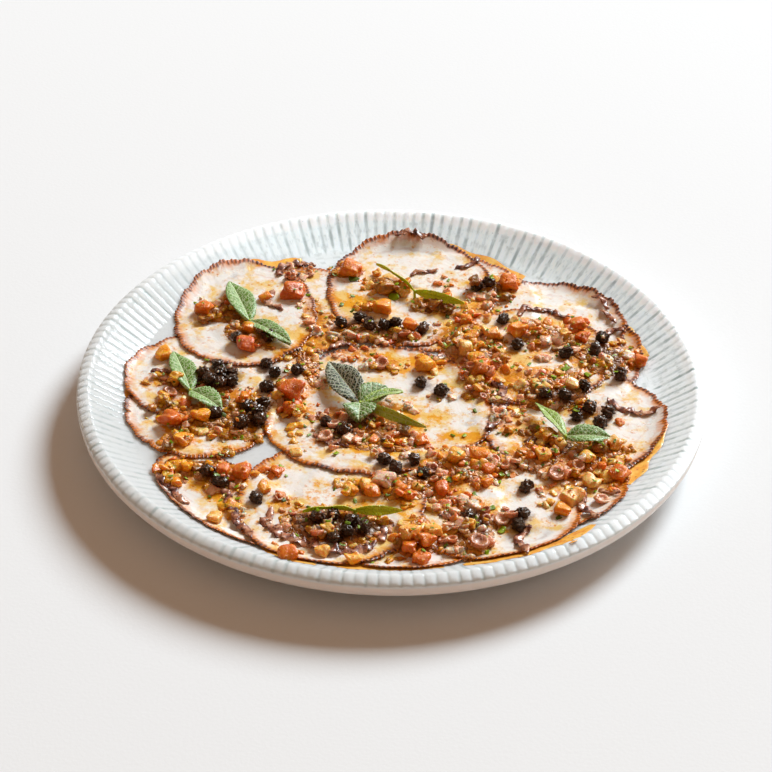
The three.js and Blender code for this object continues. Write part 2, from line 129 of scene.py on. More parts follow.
class Finish:
    """One material round a Principled shader. Sockets given by name are the same all over."""

    def __init__(self, name, sockets):
        self.material = bpy.data.materials.new(name)
        self.material.use_nodes = True
        self.nodes = self.material.node_tree.nodes
        self.links = self.material.node_tree.links
        self.nodes.clear()
        self.shader = self.nodes.new("ShaderNodeBsdfPrincipled")
        output = self.nodes.new("ShaderNodeOutputMaterial")
        self.links.new(self.shader.outputs[0], output.inputs[0])
        self.set(sockets)

    def set(self, sockets, node=None):
        """Gives sockets their values, or links them where the value is a Value."""
        for key, value in sockets.items():
            socket = (node or self.shader).inputs[key]
            if isinstance(value, Value):
                self.links.new(value.socket, socket)
            else:
                socket.default_value = value

    def node(self, kind, settings, sockets, output=0):
        made = self.nodes.new(kind)
        for key, value in settings.items():
            setattr(made, key, value)
        self.set(sockets, made)
        return Value(self, made.outputs[output])

    def attribute(self, name):
        return self.node("ShaderNodeAttribute", {"attribute_name": name}, {}, "Fac")

    def millimetres(self):
        """The place on the object, in millimetres."""
        place = self.node("ShaderNodeTexCoord", {}, {}, "Object")
        return self.node("ShaderNodeVectorMath", {"operation": "SCALE"}, {0: place, "Scale": 1 / MM})

    def vector(self, x, y, z):
        return self.node("ShaderNodeCombineXYZ", {}, {0: x, 1: y, 2: z})

    def noise(self, size, detail=2.0, at=None, roughness=0.5, distortion=0.0):
        """Soft noise between 0 and 1 with features of about this size in millimetres."""
        sockets = {"Vector": at or self.millimetres(), "Scale": 1 / size, "Detail": detail,
                   "Roughness": roughness, "Distortion": distortion}
        return self.node("ShaderNodeTexNoise", {}, sockets)

    def cells(self, size, feature="F1", at=None, output="Distance"):
        """Distance to the nearest of many scattered points, or to the border between their cells."""
        sockets = {"Vector": at or self.millimetres(), "Scale": 1 / size}
        return self.node("ShaderNodeTexVoronoi", {"feature": feature}, sockets, output)

    def mix(self, factor, first, second):
        return self.node("ShaderNodeMix", {"data_type": "RGBA"}, {0: factor, 6: first, 7: second}, 2)

    def vivid(self, colour, saturation, value=1.0):
        """The colour made stronger, as oil and water make it."""
        sockets = {"Color": colour, "Saturation": saturation, "Value": value}
        return self.node("ShaderNodeHueSaturation", {}, sockets)

    def ramp(self, value, stops):
        """A colour that runs through stops of (place, colour) as the value goes from 0 to 1."""
        made = self.nodes.new("ShaderNodeValToRGB")
        places = made.color_ramp.elements
        while len(places) < len(stops):
            places.new(0.5)
        for one, (where, colour) in zip(places, stops):
            one.position = where
            one.color = colour
        self.set({0: value}, made)
        return Value(self, made.outputs[0])

    def leaned(self, share):
        """The surface's own normal, leaned towards straight up by a share of the way."""
        own = self.node("ShaderNodeNewGeometry", {}, {}, "Normal")
        facing_up = self.node("ShaderNodeSeparateXYZ", {}, {0: own}, 2).step(0.0, 0.6)
        sockets = {0: facing_up * share, 4: own, 5: (0.0, 0.0, 1.0)}
        between = self.node("ShaderNodeMix", {"data_type": "VECTOR"}, sockets, 1)
        return self.node("ShaderNodeVectorMath", {"operation": "NORMALIZE"}, {0: between})

    def bump(self, height, distance, base=None):
        """A normal tilted by a height; base is the normal without it, where it isn't the surface's own."""
        sockets = {"Height": height, "Distance": distance * MM, "Strength": 1.0}
        return self.node("ShaderNodeBump", {}, {**sockets, "Normal": base} if base else sockets)


LIGHT = 1.15


def paint(red, green, blue):
    """A colour as it looks in full light, 0 to 255 on a screen, as the share of light it gives back."""
    linear = [((v / 255 + 0.055) / 1.055) ** 2.4 if v > 10 else v / 255 / 12.92 for v in (red, green, blue)]
    return (*(v / LIGHT for v in linear), 1.0)


def soft(weight, radius, scale):
    """Sockets for light that goes in and comes out elsewhere; the scale is in millimetres."""
    return {"Subsurface Weight": weight, "Subsurface Radius": radius, "Subsurface Scale": scale * MM}


# %% [markdown]
# ## Meshes from arrays
# All shapes here are worked out with numpy, because an array holds thousands of points at once. One helper
# turns points and faces into an object, and another joins two rings of points, also where one ring has more
# points than the other. Nearly all bodies are stacks of such rings. The plate and the slices start in the
# middle of the top, go out over the edge, and come back to the middle of the underside.

# %% Mesh helpers
def add_mesh(name, points, faces):
    """An object from points in millimetres and a list of face arrays, each with 3 or 4 corners a row."""
    corners = np.concatenate([part.ravel() for part in faces]).astype(np.int32)
    sizes = np.concatenate([np.full(len(part), part.shape[1]) for part in faces])
    starts = np.concatenate([[0], np.cumsum(sizes)[:-1]]).astype(np.int32)
    mesh = bpy.data.meshes.new(name)
    mesh.vertices.add(len(points))
    mesh.vertices.foreach_set("co", (np.asarray(points) * MM).astype(np.float32).ravel())
    mesh.loops.add(len(corners))
    mesh.loops.foreach_set("vertex_index", corners)
    mesh.polygons.add(len(starts))
    mesh.polygons.foreach_set("loop_start", starts)
    mesh.polygons.foreach_set("use_smooth", np.ones(len(starts), bool))
    mesh.update(calc_edges=True)
    piece = bpy.data.objects.new(name, mesh)
    bpy.context.scene.collection.objects.link(piece)
    return piece


def add_values(piece, name, values):
    """Stores one number for each point of a piece, for its finish to read."""
    layer = piece.data.attributes.new(name, "FLOAT", "POINT")
    layer.data.foreach_set("value", np.asarray(values, np.float32))


def circle(count):
    """Even turns round a circle, in radians."""
    return 2 * np.pi * np.arange(count) / count


def stitch(first, first_count, second, second_count):
    """Faces between two rings of points whose counts divide one another."""
    steps = max(first_count, second_count)
    k = np.arange(steps)

    def at(start, count, turn):
        return start + (turn * count + steps // 2) // steps % count

    a, d = at(first, first_count, k), at(first, first_count, k + 1)
    b, c = at(second, second_count, k), at(second, second_count, k + 1)
    if first_count == second_count:
        return [np.column_stack([a, b, c, d])]
    return [np.column_stack([a, b, c])[b != c], np.column_stack([a, c, d])[a != d]]


def ring_faces(rings, start=0):
    """The faces between every ring and the next; start is the number of the first point."""
    counts = [len(ring) for ring in rings]
    starts = start + np.concatenate([[0], np.cumsum(counts)])
    faces = []
    for k in range(len(rings) - 1):
        faces += stitch(starts[k], counts[k], starts[k + 1], counts[k + 1])
    return faces


def join_bodies(name, bodies):
    """One mesh from stacks of rings, each a closed body that starts and ends with a ring of one point."""
    points, faces, total = [], [], 0
    for rings in bodies:
        faces += ring_faces(rings, total)
        points += rings
        total += sum(len(ring) for ring in rings)
    return add_mesh(name, np.concatenate(points), faces)


def capped(rings):
    """The rings with one more point at each end, in the middle of the ring there."""
    return [rings[0].mean(axis=0)[None], *rings, rings[-1].mean(axis=0)[None]]


def dress(piece, finish, nodes=()):
    """Gives a piece its finish, ties it to the body and hides the solids it stands for."""
    piece.data.materials.append(finish.material)
    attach(piece, "root")
    if nodes:
        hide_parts(*nodes)
    print(piece.name, len(piece.data.polygons), "faces")


# %% [markdown]
# ## The plate
# The plate is thrown stoneware: a flat bed, a straight wall at 33 degrees and a thick lip with a soft bevel.
# Its 180 ribs run up the wall and over the lip like beads. It could be a lathe with ribs in a bump map, but
# the beads show on the outline, so the ribs are cut into the mesh. Each ring of the profile is pushed in
# along its normal between the ribs, most on the lip and less on the wall. Only the ribbed rings need many
# points.

# %% Shape the plate
RIBS = 180
RIB_STEPS = 10
RIB_RELIEF = 0.5
WALL_SHARE = 0.4
BED_RADIUS = 118.0
BED_Z = 10.2
WALL_SLOPE = math.tan(math.radians(33))
# radius, height and share of the relief, over the lip and down its outer side
LIP = [(134.5, 21.5, 0.9), (135.5, 21.75, 1.0), (136.5, 21.45, 1.0), (137.6, 20.95, 1.0), (138.6, 20.4, 1.0),
       (139.4, 19.85, 0.8), (139.85, 19.2, 0.4), (139.95, 18.3, 0.06), (139.9, 17.4, 0.0)]
UNDERSIDE = [(139.8, 16.0), (139.5, 14.5), (138.6, 13.2), (136.8, 11.9), (130, 8.6), (122, 5.0), (118, 3.9),
             (106, 3.6), (96, 3.3)]
FOOT = [(95, 2.6), (94.4, 0.5), (93.5, 0.0), (90.5, 0.0), (87.5, 0.0), (86.6, 0.5), (86, 2.6), (85, 3.3),
        (60, 3.4), (30, 3.4)]


def plate_top(radius):
    """The height of the plate's upper face over the ribs, with the bend between bed and wall rounded."""
    out = radius - BED_RADIUS
    return BED_Z + WALL_SLOPE * 0.5 * (out + np.sqrt(out * out + 4.0))


def plate_profile():
    """Radius, height, share of the rib relief and points in the ring, from the middle out and round."""
    ribbed = RIBS * RIB_STEPS
    rows = [(0.0, 0.0, 1)]
    rows += [(r, 0.0, RIBS * 2) for r in (25, 50, 75, 95, 106, 111)]
    wall = [114.0, 116.0, 117.5, 119.0, 120.5, 122.0, 124.0, 126.5, 129.0, 131.3, 133.2]
    rows += [(r, WALL_SHARE * min(1.0, max(0.0, (r - 116.5) / 5)), ribbed) for r in wall]
    rows = [(r, float(plate_top(r)), share, count) for r, share, count in rows]
    rows += [(r, z, share, ribbed) for r, z, share in LIP]
    rows += [(r, z, 0.0, RIBS * 2) for r, z in UNDERSIDE + FOOT]
    return rows + [(0.0, 3.4, 0.0, 1)]


def shape_plate():
    rows = plate_profile()
    line = np.array([row[:2] for row in rows])
    along = np.gradient(line, axis=0)
    along /= np.linalg.norm(along, axis=1, keepdims=True)
    outward = np.column_stack([-along[:, 1], along[:, 0]])
    rings, groove, rib = [], [], []
    for (radius, z, share, count), (out_r, out_z) in zip(rows, outward):
        phase = np.arange(count) * RIBS / count
        crest = np.sin(np.pi * (phase % 1.0)) ** 0.6 if share > 0 else np.ones(count)
        push = -RIB_RELIEF * share * (1 - crest)
        angle = circle(count)
        r = radius + push * out_r
        rings.append(np.column_stack([r * np.cos(angle), r * np.sin(angle), z + push * out_z]))
        groove.append(min(1.0, share / 0.3) * (1 - crest))
        rib.append(np.floor(phase + 0.5))
    piece = join_bodies("ribbed_plate", [rings])
    add_values(piece, "groove", np.concatenate(groove))
    add_values(piece, "rib", np.concatenate(rib))
    return piece


plate = shape_plate()

# %% [markdown]
# ## The glaze
# The glaze is a cool white that breaks to grey green where it pools between the ribs, strongly between some
# ribs and hardly between others. A flat white would look like plastic. The mesh already knows how deep in a
# groove each point lies, so that number, times noise stretched along the ribs, mixes in the green. On the
# right and far half, whose walls face away from the lamp, the grey green on the wall is painted stronger as
# painted shade, and the white is painted lighter as painted light, most on the far wall and the far lip.
# Thick glaze also scatters light inside it and hides the slope of the wall, so the normal leans towards
# upright there, and the far wall has a faint glow, which is painted fill light. Below the lip the white turns
# warmer, and the foot is bare clay.

# %% Glaze the plate
LEAN = 0.75


def glaze_finish():
    glaze = Finish("white_glaze", {**soft(0.85, (1.0, 0.96, 0.9), 8.0), "Coat Roughness": 0.1,
                                   "Coat Weight": 0.25, "Emission Strength": 1.0})
    groove = glaze.attribute("groove")
    rib = glaze.attribute("rib")
    place = glaze.millimetres()
    out = glaze.node("ShaderNodeVectorMath", {"operation": "LENGTH"}, {0: place}, "Value")
    across = glaze.node("ShaderNodeSeparateXYZ", {}, {0: place}, 0)
    back = glaze.node("ShaderNodeSeparateXYZ", {}, {0: place}, 1)
    height = glaze.node("ShaderNodeSeparateXYZ", {}, {0: place}, 2)
    # The right and far half, whose walls face away from the lamp: the grey green in the grooves is painted
    # stronger there as painted shade, and the white lighter as painted light.
    shaded_side = (across * 0.8 + back * 0.6).step(-90.0, 110.0)
    strength = glaze.noise(1.0, 2.0, glaze.vector(rib * 7.7, out * 0.03, 0.0)).step(0.35, 0.72)
    streak = glaze.noise(1.0, 3.0, glaze.vector(rib * 3.7, out * 0.16, 2.0)).step(0.35, 0.62)
    line = groove.step(0.06, 0.62) * (0.2 + strength * 0.8) * (0.3 + streak * 0.7)
    line = line * (1 - out.step(136.8, 138.6) * (0.3 + shaded_side * 0.6))
    # Lit and shaded copies of the white: darker on the side whose walls face the lamp, lighter on the side in
    # shade, as painted light.
    base = glaze.mix(shaded_side, paint(231, 233, 232), paint(250, 253, 253))
    far_side = (across * 0.3 + back).step(10.0, 100.0)
    on_wall = 1 - out.step(131.0, 134.5)
    # The far wall, and then the far lip, are painted lighter still: painted light where the lamp reaches them
    # little.
    base = glaze.mix((across * 0.35 + back).step(20.0, 115.0) * on_wall, base, paint(250, 257, 257))
    base = glaze.mix(far_side * (1 - on_wall), base, paint(262, 263, 262))
    brush = glaze.noise(1.0, 4.0, glaze.vector(rib * 9.1 + groove * 2.0, out * 0.3, 4.0)).step(0.48, 0.7)
    colour = glaze.mix(brush * (0.2 + shaded_side * 0.4) * on_wall, base, paint(192, 200, 196))
    colour = glaze.mix(line * (0.6 + shaded_side * 0.35), colour, paint(128, 150, 144))
    specks = 1 - glaze.cells(7.0).step(0.03, 0.06)
    colour = glaze.mix(specks * 0.5, colour, paint(140, 132, 122))
    below = (1 - height.step(17.4, 18.6)) * out.step(136.0, 137.5)
    colour = glaze.mix(below * 0.85, colour, paint(246, 232, 222))
    clay = 1 - height.step(0.1, 0.5)
    colour = glaze.mix(clay, colour, paint(196, 184, 168))
    ripple = glaze.noise(2.2, 3.0) * 0.1 + glaze.noise(14.0, 1.0) * 0.4
    # A faint glow on the far wall: painted fill light, though the plate is no lamp.
    glow = far_side * (1 - height.step(21.2, 21.9)) * out.step(117.0, 121.0)
    glaze.set({"Base Color": colour, "Roughness": 0.36 + streak * 0.08 + clay * 0.4,
               "Emission Color": glaze.mix(glow, (0.0, 0.0, 0.0, 1.0), (0.13, 0.148, 0.168, 1.0)),
               "Normal": glaze.bump(ripple, 0.4, glaze.leaned(LEAN))})
    return glaze


dress(plate, glaze_finish(), ["plate"])

# %% [markdown]
# ## The table and the light
# The plate stands on white paper under one large soft lamp that stands behind it and to the right, so its
# shadow falls forward and to the left. A sun would give a hard edge. The rest of the room is dim and warm,
# which gives the shadow its brown.

# %% Lay the floor and hang the lamp
FLOOR_HALF = 6000.0
LAMP_FROM = (0.486, 0.662, 0.570)
LAMP_DISTANCE = 7.0
LAMP_SIZE = 2.85
LAMP_POWER = 670.0 * LIGHT
LAMP_COLOUR = (0.887, 1.0, 1.07)
ROOM_COLOUR = (0.27, 0.174, 0.113, 1.0)

corners = FLOOR_HALF * np.array([[-1, -1], [1, -1], [1, 1], [-1, 1]])
floor = add_mesh("floor", np.column_stack([corners, np.full(4, -0.02)]), [np.array([[0, 1, 2, 3]])])
paper = Finish("white_paper", {"Roughness": 0.9, "Specular IOR Level": 0.1})
grain = paper.noise(1.6, 4.0)
paper.set({"Base Color": paper.mix(grain, paint(248, 248, 248), paint(251, 251, 251)),
           "Normal": paper.bump(grain, 0.05)})
floor.data.materials.append(paper.material)

towards = np.array(LAMP_FROM) / np.linalg.norm(LAMP_FROM)
lamp_data = bpy.data.lights.new("softbox", "AREA")
lamp_data.shape = "DISK"
lamp_data.size = LAMP_SIZE
lamp_data.energy = LAMP_POWER
lamp_data.color = LAMP_COLOUR
lamp = bpy.data.objects.new("softbox", lamp_data)
lamp.location = towards * LAMP_DISTANCE
side = np.cross([0.0, 0.0, 1.0], towards)
side /= np.linalg.norm(side)
facing = np.column_stack([side, np.cross(towards, side), towards])
lamp.rotation_euler = Matrix(facing.tolist()).to_euler()
bpy.context.scene.collection.objects.link(lamp)

world = bpy.data.worlds.new("studio")
world.use_nodes = True
background = world.node_tree.nodes["Background"]
background.inputs["Color"].default_value = ROOM_COLOUR
background.inputs["Strength"].default_value = LIGHT
bpy.context.scene.world = world
bpy.context.scene.view_settings.view_transform = "Standard"
print("lamp at", [round(float(v), 2) for v in lamp.location])

# %% [markdown]
# ## The ground that everything is laid on
# Slices, dice and leaves all rest on what was laid before them. A cloth simulation of sixteen sheets and
# thousands of dice would take hours, so one map of heights over the plate stands in for it: a grid with a
# point each half millimetre. Whatever is laid reads the map to find where it rests, and then raises it. Most
# places were measured on a level plane 14 mm above the table, so seen() slides each along the camera's line
# of sight until it meets the food.

# %% The height map
GRID_STEP = 0.5
GRID_HALF = 132.0
SEEN_Z = 14.0
axis = np.arange(-GRID_HALF, GRID_HALF + GRID_STEP / 2, GRID_STEP)
grid_x, grid_y = np.meshgrid(axis, axis, indexing="ij")
ground = plate_top(np.hypot(grid_x, grid_y))
frequency = np.fft.fftfreq(len(axis), GRID_STEP)
frequency_squared = frequency[:, None] ** 2 + frequency[None, :] ** 2


def blurred(field, spread):
    """The field with every point averaged with those within about this many millimetres."""
    damping = np.exp(-2 * (np.pi * spread) ** 2 * frequency_squared)
    return np.fft.ifft2(np.fft.fft2(field) * damping).real


def widened(field, reach):
    """The highest value within reach of every point."""
    for _ in range(round(reach / GRID_STEP)):
        wide = field.copy()
        for along in (0, 1):
            for way in (1, -1):
                wide = np.maximum(wide, np.roll(field, way, along))
        field = wide
    return field


def read(field, x, y):
    """The field at places between the points of the grid."""
    i = np.clip((np.asarray(x) + GRID_HALF) / GRID_STEP, 0, len(axis) - 1.001)
    j = np.clip((np.asarray(y) + GRID_HALF) / GRID_STEP, 0, len(axis) - 1.001)
    i0, j0 = i.astype(int), j.astype(int)
    u, v = i - i0, j - j0
    near = field[i0, j0] * (1 - u) + field[i0 + 1, j0] * u
    far = field[i0, j0 + 1] * (1 - u) + field[i0 + 1, j0 + 1] * u
    return near * (1 - v) + far * v


def seen(x, y, rise=0.0):
    """The place on the food, at a rise above it, that covers a place measured on the level plane."""
    place = y
    for _ in range(4):
        place = y - (read(ground, x, place) + rise - SEEN_Z) / math.tan(ELEVATION)
    return place


def ripples(x, y, size, seed):
    """Smooth uneven waves between about -1 and 1, of this size in millimetres."""
    draw = np.random.default_rng(seed)
    total = np.zeros(np.broadcast(x, y).shape)
    for _ in range(7):
        heading = draw.uniform(0, 2 * np.pi)
        pitch = 2 * np.pi / (size * draw.uniform(0.7, 1.6))
        total += np.sin(pitch * (x * np.cos(heading) + y * np.sin(heading)) + draw.uniform(0, 2 * np.pi))
    return total / 3.2


print("height map", ground.shape)

# %% [markdown]
# ## Oil on the plate
# Orange oil has run out from under the slices and lies as a glossy film against the wall of the plate. It
# could be a stain in the glaze, but it has thickness and a rounded edge that catches the light, so each pool
# is a thin closed sheet. It lies between a given outer line and a line thirteen millimetres further in, under
# the slices that are laid next.

# %% Pour the oil
# how far the oil runs past the line, and the line
POOLS = [
    (1.2, [(-75, 97), (-66, 101), (-53, 102), (-44, 104)]),
    (1.3, [(20, 119), (29, 117), (40, 110), (52, 100), (62, 91)]),
    (1.6, [(94, 73), (102, 64), (106, 54), (110, 47), (112, 38), (116, 28)]),
    (0.5, [(121, -22), (118, -35), (114, -45), (110, -55), (103, -65)]),
    (3.2, [(84, -92), (75, -103), (65, -107), (56, -112), (42, -117), (30, -119)]),
    (3.8, [(-28, -119), (-14, -122), (-2, -122.5), (8, -122.5), (22, -120)]),
    (0.6, [(-118, 9), (-119.5, -2), (-117, -11)]),
    (3.4, [(-72, -92), (-58, -103), (-50, -112), (-42, -117), (-30, -120)]),
]
OIL_DEPTH = 0.16
OIL_REACH = 13.0
SUNK = 0.3  # how far the undersides of pools and mounds lie inside what carries them


def resampled(path, step):
    """Points at even steps along a smoothed line through the given points."""
    path = np.array(path, float)
    reach = np.concatenate([[0], np.cumsum(np.hypot(*np.diff(path, axis=0).T))])
    t = np.linspace(0, reach[-1], max(6, int(reach[-1] / step)))
    line = np.column_stack([np.interp(t, reach, path[:, k]) for k in (0, 1)])
    for _ in range(6):
        line[1:-1] = 0.25 * line[:-2] + 0.5 * line[1:-1] + 0.25 * line[2:]
    return line


def pool_rings(past, path, number):
    line = resampled(path, 1.0)
    line = np.column_stack([line[:, 0], seen(line[:, 0], line[:, 1])])
    ends = np.sin(np.pi * np.linspace(0.02, 0.98, len(line))) ** 0.5
    inward = -line / np.hypot(*line.T)[:, None]
    uneven = 0.8 * ripples(line[:, 0], line[:, 1], 14.0, 500 + number)
    rings = []
    for place, way, width, shift in zip(line, inward, ends, uneven):
        out = place + way * (shift - past)
        across = np.linspace(0, 1, 9)
        x, y = (out[k] + way[k] * OIL_REACH * width * across for k in (0, 1))
        z = read(ground, x, y)
        top = OIL_DEPTH * width * np.clip(across * 5.0, 0, 1) ** 0.5
        upper = np.column_stack([x, y, z + top])
        lower = np.column_stack([x, y, z - SUNK])[::-1]
        rings.append(np.concatenate([upper, lower]))
    return capped(rings)


def oil_finish():
    oil = Finish("red_oil", {"Coat Weight": 0.3, "Coat Roughness": 0.1, "Roughness": 0.45})
    streak = oil.noise(5.0, 4.0, roughness=0.65)
    colour = oil.ramp(streak, [(0.3, paint(246, 140, 22)), (0.46, paint(258, 178, 44)),
                               (0.6, paint(262, 200, 76)), (0.72, paint(262, 224, 140))])
    bits = 1 - oil.cells(3.4).step(0.1, 0.24)
    colour = oil.mix(bits * 0.7, colour, paint(176, 88, 30))
    oil.set({"Base Color": colour, "Normal": oil.bump(oil.noise(3.0, 2.0), 0.15, oil.leaned(0.75))})
    return oil


pools = join_bodies("oil_pools", [pool_rings(*pool, number) for number, pool in enumerate(POOLS)])
dress(pools, oil_finish())

# %% [markdown]
# ## The slices
# Pressed octopus is sliced a millimetre thick. Every slice is an uneven oval with a scalloped rim of dark
# skin, and it sags over the slices below it. The sheet's underside is the height map, spread a little and
# then blurred, because a wet slice bridges a step before it bends. The rim has many points for its scallops,
# the middle a quarter of them. Each point stores how far it is from the rim, how far along the rim, and where
# the small teeth are, and the finish paints the skin by these numbers.

# %% Shape and lay the slices
# name, middle (x, y), half length, half width, heading in degrees, and the turn of the uneven outline
SLICES = [
    ("slice_lower_left", -70, -75, 43, 21, 132, 0.4),
    ("slice_far_left_under", -45, 66, 38, 37, 0, 1.0),
    ("slice_lower_right", 62, -54, 42, 38, -45, 1.9),
    ("slice_far_right_under", 77, 34, 38, 38, 0, 2.6),
    ("slice_far_under", 28, 73, 38, 40, 0, 0.9),
    ("slice_near", 4, -80, 43, 42, 0, 3.3),
    ("slice_near_right", 42, -75, 42, 40, 0, 5.1),
    ("slice_near_left", -26, -78, 42, 42, 0, 4.2),
    ("slice_right", 80, -18, 42, 41, 0, 0.2),
    ("slice_left", -85, -11, 38, 33, 90, 2.2),
    ("slice_far_right", 68, 53, 39, 39, 0, 1.2),
    ("slice_far", 8, 82, 44, 41, 90, 3.8),
    ("slice_upper_left", -79, 13, 42, 38, 0, 5.6),
    ("slice_far_left", -68, 60, 41, 34, 85, 4.9),
    ("slice_inner_right", 63, 30, 37, 37, 0, 2.9),
    ("slice_middle", -6, -11, 51, 50, 30, 1.5),
]
SLICE_THICKNESS = 0.8
SLICE_GAP = 0.06
RIM_TEETH = 118
RIM_STEPS = 720
RIM_RINGS = [5.0, 3.8, 2.8, 2.0, 1.3, 0.7, 0.25]
INNER_RING = 1.8


def teeth(row, angle):
    """The small teeth of the rim, between -1 and 1."""
    return np.sin(RIM_TEETH * angle + 9 * np.sin(angle + row[6]))


def slice_radius(row, angle):
    """How far the outline is from the slice's middle: an oval, uneven, with large and small scallops."""
    _, _, _, half_length, half_width, heading, turn = row
    local = angle - math.radians(heading)
    oval = np.hypot(np.cos(local) / half_length, np.sin(local) / half_width)
    uneven = 0.022 * np.sin(2 * angle + turn) + 0.018 * np.sin(3 * angle + 2 * turn)
    coarse = 1.0 * (1 - np.abs(np.sin(8 * angle + turn)))
    patchy = 0.55 + 0.45 * np.sin(3 * angle + 5 * turn) * np.sin(5 * angle - turn)
    fine = 0.9 * patchy * (1 - np.abs(np.sin(21 * angle + 3 * turn)))
    return (1 + uneven) / oval - coarse - fine + 0.22 * teeth(row, angle)


def rim_lift(row, angle, edge):
    """How far the thin rim curls up off what it lies on."""
    turn = row[6]
    wave = 0.5 + 0.5 * np.sin(13 * angle + turn) * np.sin(7 * angle - 2 * turn)
    return (0.1 + 0.35 * wave) * np.clip(1 - edge / 4.0, 0, 1) ** 2


def lay_slice(row, number):
    """Makes one slice on the ground, and raises the ground by it."""
    global ground
    name, cx, cy = row[:3]
    spread = np.hypot(grid_x - cx, grid_y - cy)
    towards_grid = np.arctan2(grid_y - cy, grid_x - cx)
    outline = slice_radius(row, towards_grid)
    inside = spread < outline
    bottom = np.maximum(blurred(widened(ground, 1.0), 1.4), ground) + SLICE_GAP
    relief = 0.1 * ripples(grid_x, grid_y, 9.0, 40 + number)
    relief += 0.05 * ripples(grid_x, grid_y, 3.0, 70 + number)
    top = bottom + SLICE_THICKNESS + relief
    rings, edges, arcs, tooth = [], [], [], []
    inner_count = RIM_STEPS // 4
    reach = min(row[3], row[4])

    def add_ring(count, share, inset, field, lift, rise):
        angle = circle(count)
        out = slice_radius(row, angle)
        radius = out * share - inset
        x, y = cx + radius * np.cos(angle), cy + radius * np.sin(angle)
        curl = rim_lift(row, angle, out - radius) if lift else 0.0
        rings.append(np.column_stack([x, y, read(field, x, y) + curl + rise]))
        edges.append(out - radius)
        arcs.append(angle * reach)
        tooth.append(teeth(row, angle) if share else np.zeros(count))

    add_ring(1, 0.0, 0.0, top, False, 0.0)
    for share in np.arange(INNER_RING, reach - RIM_RINGS[0] - 1.0, INNER_RING) / reach:
        add_ring(inner_count, share, 0.0, top, False, 0.0)
    for inset in RIM_RINGS:
        add_ring(RIM_STEPS, 1.0, inset, top, True, -0.2 if inset == RIM_RINGS[-1] else 0.0)
    for inset, drop in ((0.0, 0.55), (0.3, 0.85), (4.5, 1.0)):
        add_ring(RIM_STEPS, 1.0, inset, bottom, True, SLICE_THICKNESS * (1 - drop))
    for share in (0.7, 0.45, 0.2):
        add_ring(inner_count, share, 0.0, bottom, False, 0.0)
    add_ring(1, 0.0, 0.0, bottom, False, 0.0)
    piece = join_bodies(name + "_sheet", [rings])
    add_values(piece, "edge", np.concatenate(edges))
    add_values(piece, "arc", np.concatenate(arcs))
    add_values(piece, "tooth", np.concatenate(tooth))
    add_values(piece, "turn", np.full(sum(len(ring) for ring in rings), row[6]))
    ground = np.where(inside, top + rim_lift(row, towards_grid, outline - spread), ground)
    return piece, np.concatenate(rings)


sheets = [lay_slice(row, number) for number, row in enumerate(SLICES)]
highest = float(ground[np.hypot(grid_x, grid_y) < BED_RADIUS - 8].max())
print("slices:", len(sheets), "top of the food", round(highest, 1), "mm")
